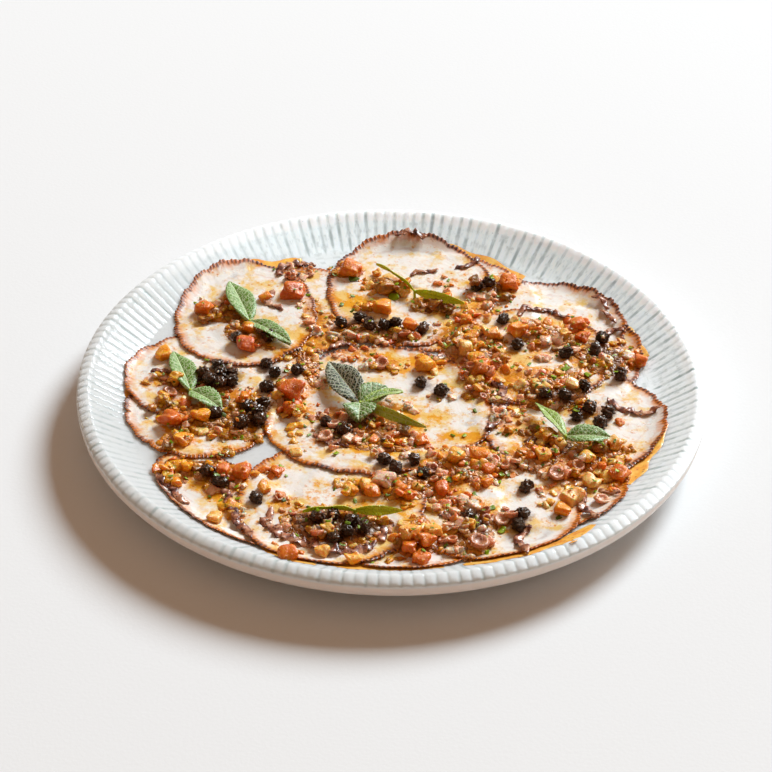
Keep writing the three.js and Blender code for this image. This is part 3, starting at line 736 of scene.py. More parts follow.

# %% [markdown]
# ## Where the relish lies
# The relish was spooned on in loose patches of many shapes. Each patch is an oval: x, y, half length, half
# width, heading in degrees, what is in it, and how thickly it is strewn. One letter stands for each kind of
# piece, and a letter that comes twice is found twice as often. The patches also make two maps: oil that soaks
# far into the flesh, with a few bright pools of its own, and brown juice that stays close. A third map holds
# nearly black patches round the capers, in a few hollows and under the sprigs of mint: partly juice run from
# the capers and partly painted shade.

# %% The patches of relish
# t tomato, o onion, b brown olive, p pink octopus, s sucker
PATCHES = [
    (-79, 62, 14, 9, 165, "ttbbp", 0.9), (-66, 44, 12, 9, 150, "pbto", 0.9), (-52, 28, 8, 4, -35, "o", 0.4),
    (-100, 6, 14, 6, 170, "spb", 0.8), (-97, -8, 8, 8, 0, "bo", 0.8), (-78, 12, 9, 9, 0, "bp", 0.5),
    (-72, 0, 12, 6, -30, "ps", 0.7), (-92, -20, 12, 12, 0, "tob", 0.8), (-66, -12, 12, 14, 0, "tpb", 0.8),
    (-70, -28, 10, 8, 0, "bp", 0.8), (-84, -30, 12, 7, 0, "bp", 0.5), (-95, -40, 6, 9, 0, "ob", 0.8),
    (-58, -37, 6, 3, 0, "b", 0.6), (-45, -4, 8, 13, 0, "to", 0.9), (-42, -14, 8, 6, 0, "otb", 0.8),
    (-36, 62, 14, 8, 100, "bp", 0.8), (-27, 47, 12, 6, 0, "bp", 0.7), (-35, 38, 6, 10, 0, "pb", 0.8),
    (-40, 22, 10, 7, 90, "pbo", 0.7), (-34, 8, 5, 10, 0, "pb", 0.8),
    (-47, 95, 10, 6, 0, "sp", 0.9), (-22, 97, 9, 7, 20, "tb", 0.8), (-4, 85, 12, 9, 0, "bbo", 0.9),
    (20, 68, 10, 8, 0, "bbo", 0.9), (24, 86, 8, 6, 0, "op", 0.6), (40, 84, 9, 6, 0, "bp", 0.8),
    (53, 88, 7, 9, 0, "top", 0.9), (53, 76, 5, 5, 0, "b", 0.8), (42, 70, 8, 12, 0, "po", 0.7),
    (33, 60, 9, 9, 0, "tpo", 0.8), (-12, 66, 6, 8, 0, "bo", 0.7), (-10, 45, 25, 8, 0, "pbt", 0.8),
    (30, 44, 14, 12, 0, "oop", 0.9), (40, 36, 12, 12, 0, "obp", 0.9), (48, 28, 9, 9, 0, "bop", 0.8),
    (-15, 28, 12, 9, 0, "pt", 0.7), (-3, 20, 8, 6, 0, "pb", 0.7), (15, 22, 8, 8, 0, "o", 0.5),
    (40, 18, 10, 9, 0, "tp", 0.8), (38, 8, 7, 12, 0, "sb", 0.8),
    (62, 52, 12, 8, 0, "tpo", 0.8), (70, 45, 10, 9, 0, "spb", 0.8), (84, 50, 8, 12, 0, "ttb", 0.85),
    (66, 33, 8, 8, 0, "ps", 0.6), (82, 32, 8, 9, 0, "bp", 0.8), (100, 30, 12, 14, 0, "bbp", 0.85),
    (112, 28, 4, 9, 0, "t", 0.7), (92, 22, 14, 6, 0, "bp", 0.8), (60, 14, 12, 9, 0, "op", 0.7),
    (75, 10, 14, 10, 0, "pbto", 0.85), (66, -2, 10, 8, 0, "pb", 0.7), (80, -6, 10, 8, 0, "bop", 0.8),
    (88, -12, 8, 8, 0, "b", 0.7), (52, -8, 8, 10, 0, "po", 0.5), (47, -12, 5, 14, 0, "sp", 0.8),
    (56, -24, 10, 9, 0, "pb", 0.75), (66, -32, 10, 10, 0, "bbo", 0.9), (84, -36, 12, 8, 0, "bo", 0.9),
    (98, -40, 8, 10, 0, "bo", 0.9), (86, -48, 8, 8, 0, "ot", 0.7), (73, -52, 14, 9, 60, "spp", 0.85),
    (98, -58, 8, 7, 0, "tt", 0.85), (88, -62, 9, 5, 50, "o", 0.7), (95, -68, 8, 4, 0, "tsp", 0.7),
    (64, -44, 8, 8, 0, "botp", 0.85), (50, -50, 9, 10, 0, "sp", 0.9), (35, -45, 14, 9, 0, "top", 0.9),
    (25, -52, 12, 12, 0, "pbo", 0.85), (35, -62, 12, 6, 0, "otp", 0.8), (12, -52, 8, 10, 0, "psb", 0.7),
    (13, -62, 8, 8, 0, "bs", 0.9), (24, -70, 9, 8, 0, "tp", 0.8), (75, -72, 9, 6, 0, "o", 0.7),
    (66, -72, 6, 7, 0, "po", 0.6), (105, -24, 8, 8, 0, "t", 0.15),
    (-8, -66, 16, 6, 0, "tbo", 0.85), (-18, -68, 8, 6, 0, "bo", 0.8), (6, -72, 8, 8, 0, "to", 0.8),
    (-45, -80, 8, 8, 0, "bs", 0.8), (-24, -92, 24, 13, 175, "sbbp", 0.95), (-12, -103, 10, 7, 0, "pso", 0.7),
    (11, -100, 10, 13, 0, "to", 0.95), (-6, -117, 16, 3, 0, "ob", 0.6), (30, -84, 12, 10, 0, "bsp", 0.9),
    (33, -102, 11, 12, 0, "sppb", 0.9), (47, -88, 7, 6, 0, "s", 0.85), (22, -78, 5, 8, 0, "bp", 0.6),
    (34, -76, 7, 7, 0, "p", 0.7), (-93, -57, 9, 8, 0, "oot", 0.9), (-80, -58, 8, 7, 0, "bo", 0.9),
    (-67, -58, 9, 9, 0, "ttp", 0.9), (-54, -57, 8, 5, 0, "tbo", 0.7), (-70, -70, 7, 8, 100, "sbp", 0.85),
    (-66, -84, 12, 5, 110, "bop", 0.8), (-73, -46, 5, 4, 0, "b", 0.8), (-92, -67, 4, 4, 0, "o", 0.6),
    (-42, -113, 9, 5, -40, "t", 0.9),
    (-20, -20, 16, 8, 0, "bs", 0.85), (-24, -34, 12, 9, 0, "ssp", 0.9), (0, -28, 14, 9, 0, "pbto", 0.85),
    (-2, -40, 16, 6, 0, "sbp", 0.85), (-2, -12, 12, 6, 0, "pb", 0.8), (12, -36, 6, 6, 0, "tp", 0.7),
    (-40, -26, 7, 8, 0, "o", 0.3), (-40, -38, 7, 6, 0, "bo", 0.5), (22, -2, 6, 4, 0, "bp", 0.5),
]

# x, y
CAPERS = [
    (-24, 53), (-15, 58), (-11, 53), (-4, 52), (1, 54), (14, 50), (51, 58), (57, 38), (96, 44), (92, 35),
    (103, 16), (86, 7), (96, -12), (-57, 22), (-53, 14), (-56, 3), (-43, 16), (-85, 13), (-79, 19),
    (-77, 12), (-72, 13), (-77, 6), (-72, 7), (-82, 8), (-64, -11), (-59, -15), (-66, -23), (-58, -22),
    (-57, -8), (-78, -17), (13, 8), (22, 2), (-29, -22), (-21, -27), (-3, -48), (2, -55), (10, -48),
    (14, -58), (-79, -58), (-73, -66), (-57, -76), (58, -66), (56, -84), (54, -92), (-31, -88), (-24, -86),
    (-16, -90), (-23, -102), (-18, -97), (-11, -94), (77, 0), (68, 1), (82, -15), (88, -9), (92, -20),
    (79, 32), (39, 85), (45, 88), (-71, 41), (-57, 42), (33, -86),
]
# How far round each caper the flesh is darkened: partly juice, partly painted shade.
CAPER_DARK_REACH = 4.5
# x, y, half length, half width, heading in degrees
BRIGHT_OIL = [
    (9, 21, 17, 8, 0), (53, 10, 11, 8, 0), (30, -33, 11, 6, 0), (-33, 38, 14, 8, 0), (-55, -42, 8, 10, 0),
    (40, -62, 8, 8, 0), (-6, -43, 18, 4, 0), (-48, 30, 10, 6, 0), (0, -20, 30, 10, 0), (-80, -72, 16, 5, -50),
    (-30, -100, 22, 6, 0), (80, -70, 12, 6, 30), (-20, 70, 12, 8, 0),
]
# Nearly black patches in hollows and under the sprigs of mint: partly juice, partly painted shade.
DARK_JUICE_AND_SHADE = [
    (-8, -21, 20, 6, 0), (-24, -94, 21, 10, 175), (-24, -34, 13, 7, 0), (68, -33, 12, 8, 0),
    (-1, 83, 14, 6, 0), (-88, 4, 14, 6, 170), (35, -97, 8, 9, 0), (98, 28, 8, 8, 0),
]


def patch_share(patch, x, y):
    """0 in the middle of a patch and 1 on its outline."""
    cx, cy, half_length, half_width, heading = patch[:5]
    angle = math.radians(heading)
    along = (x - cx) * math.cos(angle) + (y - cy) * math.sin(angle)
    across = (y - cy) * math.cos(angle) - (x - cx) * math.sin(angle)
    return np.hypot(along / half_length, across / half_width)


def seen_share(patch, rise):
    """The share for every point of the grid, with the patch where it is seen at a rise above the food."""
    x, y = patch[:2]
    return patch_share((x, float(seen(x, y, rise)), *patch[2:]), grid_x, grid_y)


def patch_point(patch, share, turn):
    """The place at a share of the way out of a patch, towards a turn of its oval."""
    cx, cy, half_length, half_width, heading = patch[:5]
    angle = math.radians(heading)
    along = half_length * share * np.cos(turn)
    across = half_width * share * np.sin(turn)
    return (cx + along * math.cos(angle) - across * math.sin(angle),
            cy + along * math.sin(angle) + across * math.cos(angle))


strewn = np.zeros(ground.shape)
for patch in PATCHES:
    strewn = np.maximum(strewn, patch[6] * np.clip(4 - 4 * seen_share(patch, 0.8), 0, 1))
oily = 0.55 * blurred(strewn, 4.0) + 0.6 * blurred(strewn, 13.0)
for patch in BRIGHT_OIL:
    oily += 0.7 * np.clip(1.3 - seen_share(patch, 0.3), 0, 1)
oily = np.clip(oily, 0, 1.2)
juicy = np.clip(blurred(strewn, 1.5), 0, 1)
# A map of nearly black patches: partly juice from the capers, partly painted shade round them, in hollows and
# under the mint.
juice_and_shade = np.zeros(ground.shape)
for x, y in CAPERS:
    juice_and_shade = np.maximum(juice_and_shade, np.hypot(grid_x - x, grid_y - float(seen(x, y, 2.0))) < CAPER_DARK_REACH)
for patch in DARK_JUICE_AND_SHADE:
    juice_and_shade = np.maximum(juice_and_shade, 0.7 * (seen_share(patch, 1.0) < 1))
juice_and_shade = blurred(juice_and_shade, 2.2)
for piece, points in sheets:
    for name, field in (("oil", oily), ("juice", juicy), ("dark_juice_and_shade", juice_and_shade)):
        add_values(piece, name, read(field, points[:, 0], points[:, 1]))
print("patches:", len(PATCHES), "cover", round(float((strewn > 0.1).sum()) * GRID_STEP ** 2), "square mm")

# %% [markdown]
# ## The flesh
# Octopus flesh is creamy white and a little see-through. Towards the rim it turns pink in fine bands, and the
# skin itself is red brown, nearly black on the teeth where the suckers were cut. Oil from the relish
# leaves yellow and orange stains, and brown juice lies round the heaps. Nearly black patches round the
# capers, in a few hollows and under the sprigs of mint are partly juice and partly painted shade. All of it
# is one
# finish for the sixteen slices: the turn stored with each slice shifts the noise, so that no two look alike.

# %% Paint the flesh
def flesh_finish():
    flesh = Finish("octopus_flesh", {**soft(0.3, (1.0, 0.7, 0.5), 1.2), "Coat Roughness": 0.12})
    edge = flesh.attribute("edge")
    arc = flesh.attribute("arc")
    turn = flesh.attribute("turn")
    tooth = flesh.attribute("tooth")
    oil = flesh.attribute("oil")
    juice = flesh.attribute("juice")
    dark_juice_and_shade = flesh.attribute("dark_juice_and_shade")
    shift = flesh.vector(turn * 31.0, turn * 17.0, turn * 5.0)
    place = flesh.node("ShaderNodeVectorMath", {"operation": "ADD"}, {0: flesh.millimetres(), 1: shift})
    rim = flesh.vector(arc, edge, turn * 40.0)
    cloud = flesh.noise(12.0, 4.0, place, 0.6)
    fibre = flesh.noise(1.0, 3.0, flesh.vector(arc * 0.12, edge * 0.5, turn * 9.0))
    colour = flesh.mix(cloud, paint(254, 248, 242), paint(250, 238, 227))
    colour = flesh.mix(fibre.step(0.45, 0.8) * 0.25, colour, paint(242, 222, 206))
    wander = flesh.noise(6.0, 3.0, rim)
    banded = edge.step(3.0, 5.0) * (1 - edge.step(10.0, 14.0)) * wander.step(0.3, 0.6)
    bands = ((edge + wander * 4.0) * 1.25).sine().step(0.3, 0.95) * banded
    colour = flesh.mix(bands * 0.5, colour, paint(230, 200, 184))
    patches = flesh.noise(10.0, 5.0, place, 0.68)
    stain = (patches * 1.66 + oil * 0.34).step(0.82, 1.13)
    colour = flesh.mix(stain * 0.85, colour, paint(253, 214, 146))
    middle = (flesh.noise(6.0, 5.0, place, 0.7) * 1.86 + oil * 0.35).step(1.09, 1.34)
    colour = flesh.mix(middle * 0.85, colour, paint(246, 168, 66))
    wet = (flesh.noise(3.6, 4.0, place, 0.68) * 1.66 + juice * 0.36).step(0.95, 1.26)
    colour = flesh.mix(wet * 0.8, colour, paint(226, 140, 66))
    deep = (flesh.noise(2.0, 3.0, place, 0.6) * 0.8 + juice * 0.7).step(0.82, 1.1)
    colour = flesh.mix(deep * 0.6, colour, paint(172, 102, 56))
    # Nearly black where the map says so: partly juice, partly painted shade.
    juice_and_shade_mask = (dark_juice_and_shade + flesh.noise(2.6, 4.0, place, 0.65) - 0.5).step(0.2, 0.75)
    colour = flesh.mix(juice_and_shade_mask * 0.65, colour, paint(116, 66, 34))
    drops = (1 - flesh.cells(4.2, at=place).step(0.09, 0.19)) * (patches + oil * 0.3).step(0.48, 0.62)
    colour = flesh.mix(drops * 0.85, colour, paint(226, 132, 42))
    specks = (1 - flesh.cells(2.4, at=place).step(0.09, 0.2)) * (oil + patches * 0.4).step(0.5, 0.8)
    colour = flesh.mix(specks * 0.7, colour, paint(190, 108, 54))
    blush = 1 - (edge + wander * 2.5).step(2.2, 7.0)
    colour = flesh.mix(blush * 0.42, colour, paint(228, 190, 172))
    seep = (1 - edge.step(1.5, 5.5)) * flesh.noise(7.0, 3.0, rim).step(0.44, 0.6)
    colour = flesh.mix(seep * 0.8, colour, paint(236, 146, 62))
    ticks = (arc * 2.6 + wander * 3.0).sine().step(0.1, 0.9) * (1 - (edge + wander * 2.0).step(2.4, 4.6))
    ticks = ticks * flesh.noise(14.0, 1.0, rim).step(0.42, 0.58)
    colour = flesh.mix(ticks * 0.8, colour, paint(112, 56, 44))
    skin = 1 - (edge - wander * 1.6).step(0.4, 1.7)
    dark_side = flesh.noise(18.0, 2.0, rim).step(0.36, 0.64)
    skin_colour = flesh.mix(dark_side, paint(212, 120, 62), paint(142, 76, 50))
    colour = flesh.mix(skin * 0.8, colour, skin_colour)
    uneven = (flesh.noise(3.0, 2.0, rim) - 0.44) * 2.8
    dots = (tooth + uneven).step(0.0, 0.8) * (1 - (edge - wander * 1.2).step(0.8, 1.9))
    dots = dots * (dark_side * 0.4 + 0.6)
    colour = flesh.mix(dots * 0.9, colour, paint(56, 28, 24))
    inner = (1 - flesh.cells(2.3, at=rim).step(0.1, 0.28)) * (1 - edge.step(1.6, 4.0))
    colour = flesh.mix(inner * wander.step(0.4, 0.6) * 0.6, colour, paint(96, 48, 40))
    # The cut side of the sheet faces away from the lamp; it is painted a light orange so that it looks brown
    # orange in its shade: painted light.
    colour = flesh.mix((1 - edge.step(0.0, 0.25)) * (1 - dots) * 0.4, colour, paint(240, 148, 72))
    colour = flesh.vivid(colour, 1.08 + stain * 0.2 + skin * 0.16, 1.02)
    height = cloud * 0.5 + fibre * 0.35 + dots * 0.5 + wet * 0.3
    flesh.set({"Base Color": colour, "Roughness": 0.46 - stain * 0.14, "Coat Weight": 0.04 + oil * 0.3,
               "Normal": flesh.bump(height, 0.35, flesh.leaned(0.3))})
    return flesh


flesh = flesh_finish()
for row, (piece, _) in zip(SLICES, sheets):
    dress(piece, flesh, [row[0]])

# %% [markdown]
# ## Strips of skin
# Torn strips of octopus skin lie over the slices in curls. A strip is a narrow band, purple brown and pink,
# ruffled from side to side. Each one follows a given line with its width. The band is swept along the line
# as a flat ring of eight points, and waves tip it left and right as it goes.

# %% Curl the strips
STRIP_STEP = 0.8
STRIPS = [
    (3.4, [(-57, 78), (-59, 71), (-57, 66), (-52, 63)]), (4.0, [(-56, 90), (-52, 98), (-45, 101), (-37, 99)]),
    (3.2, [(-52, 88), (-46, 92), (-38, 92)]), (2.6, [(8, 92), (14, 96), (21, 97)]),
    (2.6, [(30, 98), (42, 107)]), (3.2, [(1, 124), (9, 126), (16, 122)]),
    (2.6, [(93, 76), (98, 72), (101, 66)]), (2.6, [(96, 64), (102, 60), (103, 54)]),
    (2.8, [(57, 60), (61, 65), (68, 66), (75, 63), (81, 59)]),
    (3.4, [(96, -3), (102, -11), (110, -14), (119, -11)]),
    (3.6, [(84, -66), (81, -74), (82, -81), (87, -88)]), (2.8, [(90, -68), (97, -71)]),
    (4.0, [(60, -93), (55, -98), (54, -105), (56, -111)]),
    (5.2, [(-51, -84), (-52, -94), (-45, -102), (-34, -107), (-24, -111), (-12, -111), (-5, -105)]),
    (3.8, [(-5, -105), (-1, -97), (0, -91)]), (3.4, [(-101, -61), (-95, -70), (-90, -77), (-86, -82)]),
    (3.6, [(-74, -66), (-69, -77), (-67, -88), (-62, -97), (-57, -104)]),
    (4.2, [(44, 11), (50, 2), (50, -8), (46, -20), (42, -27)]), (3.2, [(97, 46), (102, 50), (107, 49)]),
    (3.0, [(-109, 12), (-102, 14), (-95, 11)]), (3.0, [(-30, 31), (-24, 36), (-18, 34)]),
    (3.0, [(20, -84), (26, -90), (34, -92)]), (3.2, [(-34, -32), (-27, -38), (-18, -40)]),
]


def strip_rings(width, path, number):
    line = resampled(path, STRIP_STEP)
    t = np.arange(len(line)) * STRIP_STEP
    line = line + 0.8 * np.column_stack([np.sin(t / 2.1 + number), np.sin(t / 1.7 + 2 * number)])
    line = np.column_stack([line[:, 0], seen(line[:, 0], line[:, 1], 0.8)])
    along = np.gradient(line, axis=0)
    along /= np.hypot(*along.T)[:, None]
    taper = np.clip(np.sin(np.pi * np.linspace(0.03, 0.97, len(line))) * 2.5, 0.2, 1)
    tilt = 0.75 * np.sin(t * 1.3 + 3 * number) + 0.4 * np.sin(t * 2.9 + number)
    rest = read(widened(ground, 1.5), *line.T) + 0.55 + 0.25 * np.sin(t * 0.9 + number)
    turn = circle(8)
    rings = []
    for (x, y), (ax, ay), size, lean, z in zip(line, along, taper, tilt, rest):
        across = size * width / 2 * np.cos(turn)
        rise = 0.42 * np.sin(turn) + across * math.sin(lean) * 0.6
        rings.append(np.column_stack([x - ay * across, y + ax * across, z + rise]))
    return capped(rings)


def strip_finish():
    strip = Finish("octopus_skin", {**soft(0.2, (1.0, 0.5, 0.4), 0.8), "Coat Weight": 0.35,
                                    "Coat Roughness": 0.16, "Coat Tint": (1.0, 0.9, 0.78, 1.0)})
    cloud = strip.noise(5.0, 4.0, roughness=0.65)
    colour = strip.ramp(cloud, [(0.34, paint(66, 40, 40)), (0.45, paint(130, 86, 76)),
                                (0.55, paint(192, 140, 118)), (0.68, paint(234, 198, 174))])
    dots = 1 - strip.cells(1.9).step(0.16, 0.34)
    colour = strip.mix(dots * 0.65, colour, paint(54, 28, 30))
    strip.set({"Base Color": strip.vivid(colour, 1.25), "Roughness": 0.42,
               "Normal": strip.bump(dots + cloud, 0.4)})
    return strip


strips = join_bodies("skin_strips", [strip_rings(*strip, number) for number, strip in enumerate(STRIPS)])
dress(strips, strip_finish())

# %% [markdown]
# ## The core of each heap
# Between the dice lies a mince too fine to place piece by piece. It is a low mound with real bumps, one for
# each heap: name, middle, half length, half width, heading and height, as in the solids. The mounds are one
# mesh. Where no relish is strewn a mound sinks into the flesh, so its outline is as ragged as the heap. Its
# finish breaks it into cells of a few millimetres, each in one of the colours of the relish, darker along the
# cell borders as painted shade in the gaps between bits. Near the capers, in a few hollows and under the mint
# it turns nearly black: partly juice, partly painted shade.

# %% Mound up the mince
HEAPS = [
    ("relish_far_left", -79, 62, 14, 10, 160, 2.2), ("relish_left_middle", -65, 40, 13, 8, 160, 1.8),
    ("relish_left", -88, 6, 18, 9, 160, 2.4), ("relish_left_low", -88, -19, 16, 10, 165, 2.0),
    ("relish_left_inner", -64, -19, 18, 10, 75, 2.4), ("relish_middle_left", -46, -6, 12, 6, 85, 1.8),
    ("relish_middle_far_left", -38, 22, 14, 5, 100, 1.6), ("relish_middle_far", -5, 48, 23, 8, 178, 2.2),
    ("relish_far_edge", -21, 96, 9, 6, 20, 2.0), ("relish_far", 8, 77, 22, 10, 150, 2.4),
    ("relish_far_right", 48, 85, 12, 8, 110, 2.0), ("relish_upper_right", 35, 36, 19, 14, 50, 2.6),
    ("relish_right_far", 68, 47, 16, 9, 170, 2.4), ("relish_right_edge", 96, 29, 19, 12, 125, 2.6),
    ("relish_right_middle", 74, 4, 20, 13, 20, 2.4), ("relish_middle_right", 40, 8, 14, 6, 105, 2.0),
    ("relish_right", 91, -42, 19, 12, 105, 2.8), ("relish_right_inner", 66, -40, 17, 10, 60, 2.4),
    ("relish_lower_right", 38, -52, 17, 13, 160, 2.6), ("relish_near_right", 34, -94, 20, 10, 95, 2.4),
    ("relish_near", 11, -102, 14, 11, 80, 2.4), ("relish_near_left", -24, -94, 22, 12, 175, 3.2),
    ("relish_lower_left", -80, -57, 19, 9, 172, 2.2), ("relish_middle_near", 1, -68, 20, 9, 5, 2.2),
    ("relish_middle", -9, -30, 21, 13, 170, 2.4),
]
MINCE_TURNS = 96
MINCE_RINGS = 18


def mound_rise(heap, share, x, y):
    """How far a mound stands above the flesh."""
    dome = (0.9 + 0.35 * heap[6]) * np.sqrt(np.clip(1.02 - share ** 2, 0, 1))
    return dome * np.clip(1.5 * read(juicy, x, y), 0.0, 1.0) - 0.15


def heap_mounds():
    """The mounds under all heaps, as one mesh of closed bodies."""
    global ground
    bodies = []
    turn = circle(MINCE_TURNS)
    for number, heap in enumerate(HEAPS):
        oval = heap[1:6]
        wobble = 1 + 0.1 * np.sin(3 * turn + number) + 0.07 * np.sin(7 * turn + 2 * number)
        rings = []
        for share in np.linspace(0, 1, MINCE_RINGS):
            count = MINCE_TURNS if share else 1
            x, y = patch_point(oval, share * wobble[:count], turn[:count])
            bumps = 0.5 * ripples(x, y, 3.2, 900) + 0.25 * ripples(x, y, 1.5, 901)
            rise = mound_rise(heap, share, x, y)
            rings.append(np.column_stack([x, y, read(ground, x, y) + rise + bumps * np.clip(rise, 0, 1)]))
        for share in (1.0, 0.5, 0.0):
            count = MINCE_TURNS if share else 1
            x, y = patch_point(oval, share * wobble[:count], turn[:count])
            rings.append(np.column_stack([x, y, read(ground, x, y) - SUNK]))
        bodies.append(rings)
        share = patch_share(oval, grid_x, grid_y)
        raised = ground + mound_rise(heap, share, grid_x, grid_y)
        ground = np.where(share < 1, np.maximum(ground, raised), ground)
    piece = join_bodies("relish_mince", bodies)
    points = np.concatenate([ring for rings in bodies for ring in rings])
    add_values(piece, "dark_juice_and_shade", read(juice_and_shade, points[:, 0], points[:, 1]))
    return piece


def mince_finish():
    mince = Finish("relish_mince", {**soft(0.4, (1.0, 0.5, 0.25), 1.5), "Coat Weight": 0.2,
                                    "Coat Roughness": 0.2})
    drift = mince.vector(mince.noise(2.0) * 1.8, mince.noise(2.3) * 1.8, 0.0)
    wobble = mince.node("ShaderNodeVectorMath", {"operation": "ADD"}, {0: mince.millimetres(), 1: drift})
    chosen = mince.cells(3.0, at=wobble, output="Color")
    pick = mince.node("ShaderNodeSeparateColor", {}, {0: chosen}, 0)
    shade = mince.node("ShaderNodeSeparateColor", {}, {0: chosen}, 1)
    colour = mince.ramp(pick, [
        (0.0, paint(96, 64, 40)), (0.12, paint(176, 122, 78)), (0.3, paint(224, 168, 112)),
        (0.48, paint(238, 180, 126)), (0.62, paint(238, 194, 160)), (0.76, paint(246, 220, 194)),
        (0.88, paint(236, 138, 78)), (0.97, paint(160, 146, 76))])
    colour = mince.mix(shade * 0.15, colour, paint(160, 100, 62))
    colour = mince.mix(mince.noise(1.2, 3.0).step(0.45, 0.7) * 0.4, colour, paint(236, 182, 130))
    # Darker along the cell borders: painted shade in the gaps between the bits.
    border = mince.cells(3.0, "DISTANCE_TO_EDGE", wobble).step(0.0, 0.16)
    colour = mince.mix((1 - border) * 0.3, colour, paint(150, 92, 56))
    soak = mince.noise(7.0, 4.0, roughness=0.65).step(0.42, 0.62)
    colour = mince.mix(soak * 0.5, colour, paint(206, 128, 70))
    colour = mince.mix(mince.noise(5.0, 3.0).step(0.52, 0.7) * 0.5, colour, paint(178, 112, 92))
    # Nearly black where the map says so: partly juice, partly painted shade.
    juice_and_shade_mask = (mince.attribute("dark_juice_and_shade") + mince.noise(2.2, 4.0) - 0.5).step(0.15, 0.7)
    colour = mince.mix(juice_and_shade_mask * 0.75, colour, paint(84, 48, 28))
    mince.set({"Base Color": mince.vivid(colour, 1.3, 1.12), "Roughness": 0.42,
               "Normal": mince.bump(border + pick * 0.6, 0.7)})
    return mince


dress(heap_mounds(), mince_finish(), [heap[0] for heap in HEAPS])

# %% [markdown]
# ## Scattered pieces
# Dice, crumbs and capers are the same few shapes over and over, at many sizes and turns. Instances would keep
# them light, but a joined mesh is what can be handed on, so a Pile collects the turned points of every piece
# of one kind and makes a single mesh at the end. Each piece gets one random number, its tint, so that the
# finish can colour it differently from its neighbour.

# %% Shapes of small pieces
def cube_net(steps):
    """Points on the skin of a cube from -1 to 1, and its square faces."""
    line = np.linspace(-1, 1, steps + 1)
    u, v = (part.ravel() for part in np.meshgrid(line, line, indexing="ij"))
    quad = np.array([[i * (steps + 1) + j, (i + 1) * (steps + 1) + j, (i + 1) * (steps + 1) + j + 1,
                      i * (steps + 1) + j + 1] for i in range(steps) for j in range(steps)])
    points, faces = [], []
    for along in range(3):
        for side in (-1, 1):
            face = np.zeros((len(u), 3))
            face[:, along] = side
            face[:, (along + 1) % 3] = u
            face[:, (along + 2) % 3] = v
            faces.append((quad if side > 0 else quad[:, ::-1]) + len(u) * len(points))
            points.append(face)
    points, number = np.unique(np.round(np.concatenate(points), 6), axis=0, return_inverse=True)
    return points, number.ravel()[np.concatenate(faces)]


def waves(points, size, seed):
    """Smooth uneven waves through space between about -1 and 1."""
    draw = np.random.default_rng(seed)
    total = np.zeros(len(points))
    for _ in range(6):
        heading = draw.normal(size=3)
        heading *= 2 * np.pi / (size * np.linalg.norm(heading))
        total += np.sin(points @ heading + draw.uniform(0, 2 * np.pi))
    return total / 3


def rotation(about_x, about_y, about_z):
    """The matrix that turns points about X, then about Y and then about Z, by angles in radians."""
    cx, cy, cz = np.cos([about_x, about_y, about_z])
    sx, sy, sz = np.sin([about_x, about_y, about_z])
    turn_x = np.array([[1, 0, 0], [0, cx, -sx], [0, sx, cx]])
    turn_y = np.array([[cy, 0, sy], [0, 1, 0], [-sy, 0, cy]])
    turn_z = np.array([[cz, -sz, 0], [sz, cz, 0], [0, 0, 1]])
    return turn_z @ turn_y @ turn_x


def lump(steps, roundness, unevenness, size, seed):
    """A die that has gone soft: roundness 0 is a cube and 1 a ball, with waves of a size all over it."""
    points, faces = cube_net(steps)
    ball = points / np.linalg.norm(points, axis=1, keepdims=True)
    shape = points * (1 - roundness) + ball * roundness
    shape = shape * (1 + unevenness * waves(ball, size, seed))[:, None]
    return shape / np.abs(shape).max(), faces


class Pile:
    """All the pieces of one kind."""

    def __init__(self, name, forms):
        self.name = name
        self.forms = forms
        self.points, self.faces, self.tints = [], [], []
        self.count = 0

    def add(self, middle, halves, turn, tilt, draw, form=None):
        """Adds one piece: half sizes in millimetres, turned about Z after a tilt about X and Y."""
        points, faces = form or self.forms[int(draw.integers(len(self.forms)))]
        self.faces.append(faces + self.count)
        self.points.append((points * halves) @ rotation(*tilt, turn).T + middle)
        self.tints.append(np.full(len(points), draw.random()))
        self.count += len(points)

    def make(self):
        piece = add_mesh(self.name, np.concatenate(self.points), [np.concatenate(self.faces)])
        add_values(piece, "tint", np.concatenate(self.tints))
        return piece


def patch_of_grid(x, y, reach):
    """The part of the grid within reach of a place."""
    steps = int(reach / GRID_STEP) + 1
    i = int(round((x + GRID_HALF) / GRID_STEP))
    j = int(round((y + GRID_HALF) / GRID_STEP))
    return slice(max(0, i - steps), i + steps + 1), slice(max(0, j - steps), j + steps + 1)


BEDDED = 0.6  # the share of the ground under a piece that stays below the height it rests at


def settle(x, y, radius, height, sink):
    """Lets a round piece down on the ground, sunk in by a share of its height, and raises the ground."""
    part = patch_of_grid(x, y, radius)
    share = ((grid_x[part] - x) ** 2 + (grid_y[part] - y) ** 2) / radius ** 2
    under = share < 1
    rest = np.quantile(ground[part][under], BEDDED) if under.any() else read(ground, x, y)
    bottom = rest - sink * height
    dome = bottom + height * np.sqrt(np.clip(1 - 0.75 * share, 0, 1))
    ground[part] = np.where(under, np.maximum(ground[part], dome), ground[part])
    return bottom + height / 2


# %% [markdown]
# ## The kinds of dice
# Tomato is cut in soft red cubes, onion and pepper in glassy yellow slabs that still curve like the bulb,
# olives are chopped into brown crumbs, and trimmings of octopus are pink chunks with some skin. Suckers are
# small cups with a thick round rim. Each kind has a few lumps as its forms and a colour that runs with the
# tint. The same two juices, orange and pink brown, have soaked whole regions of every kind.

# %% Forms and finishes of the dice
def bent(form, amount):
    """A slab bent round the Y axis, as a piece of onion is."""
    points, faces = form
    return points + np.column_stack([np.zeros((len(points), 2)), amount * (points[:, 0] ** 2 - 0.4)]), faces


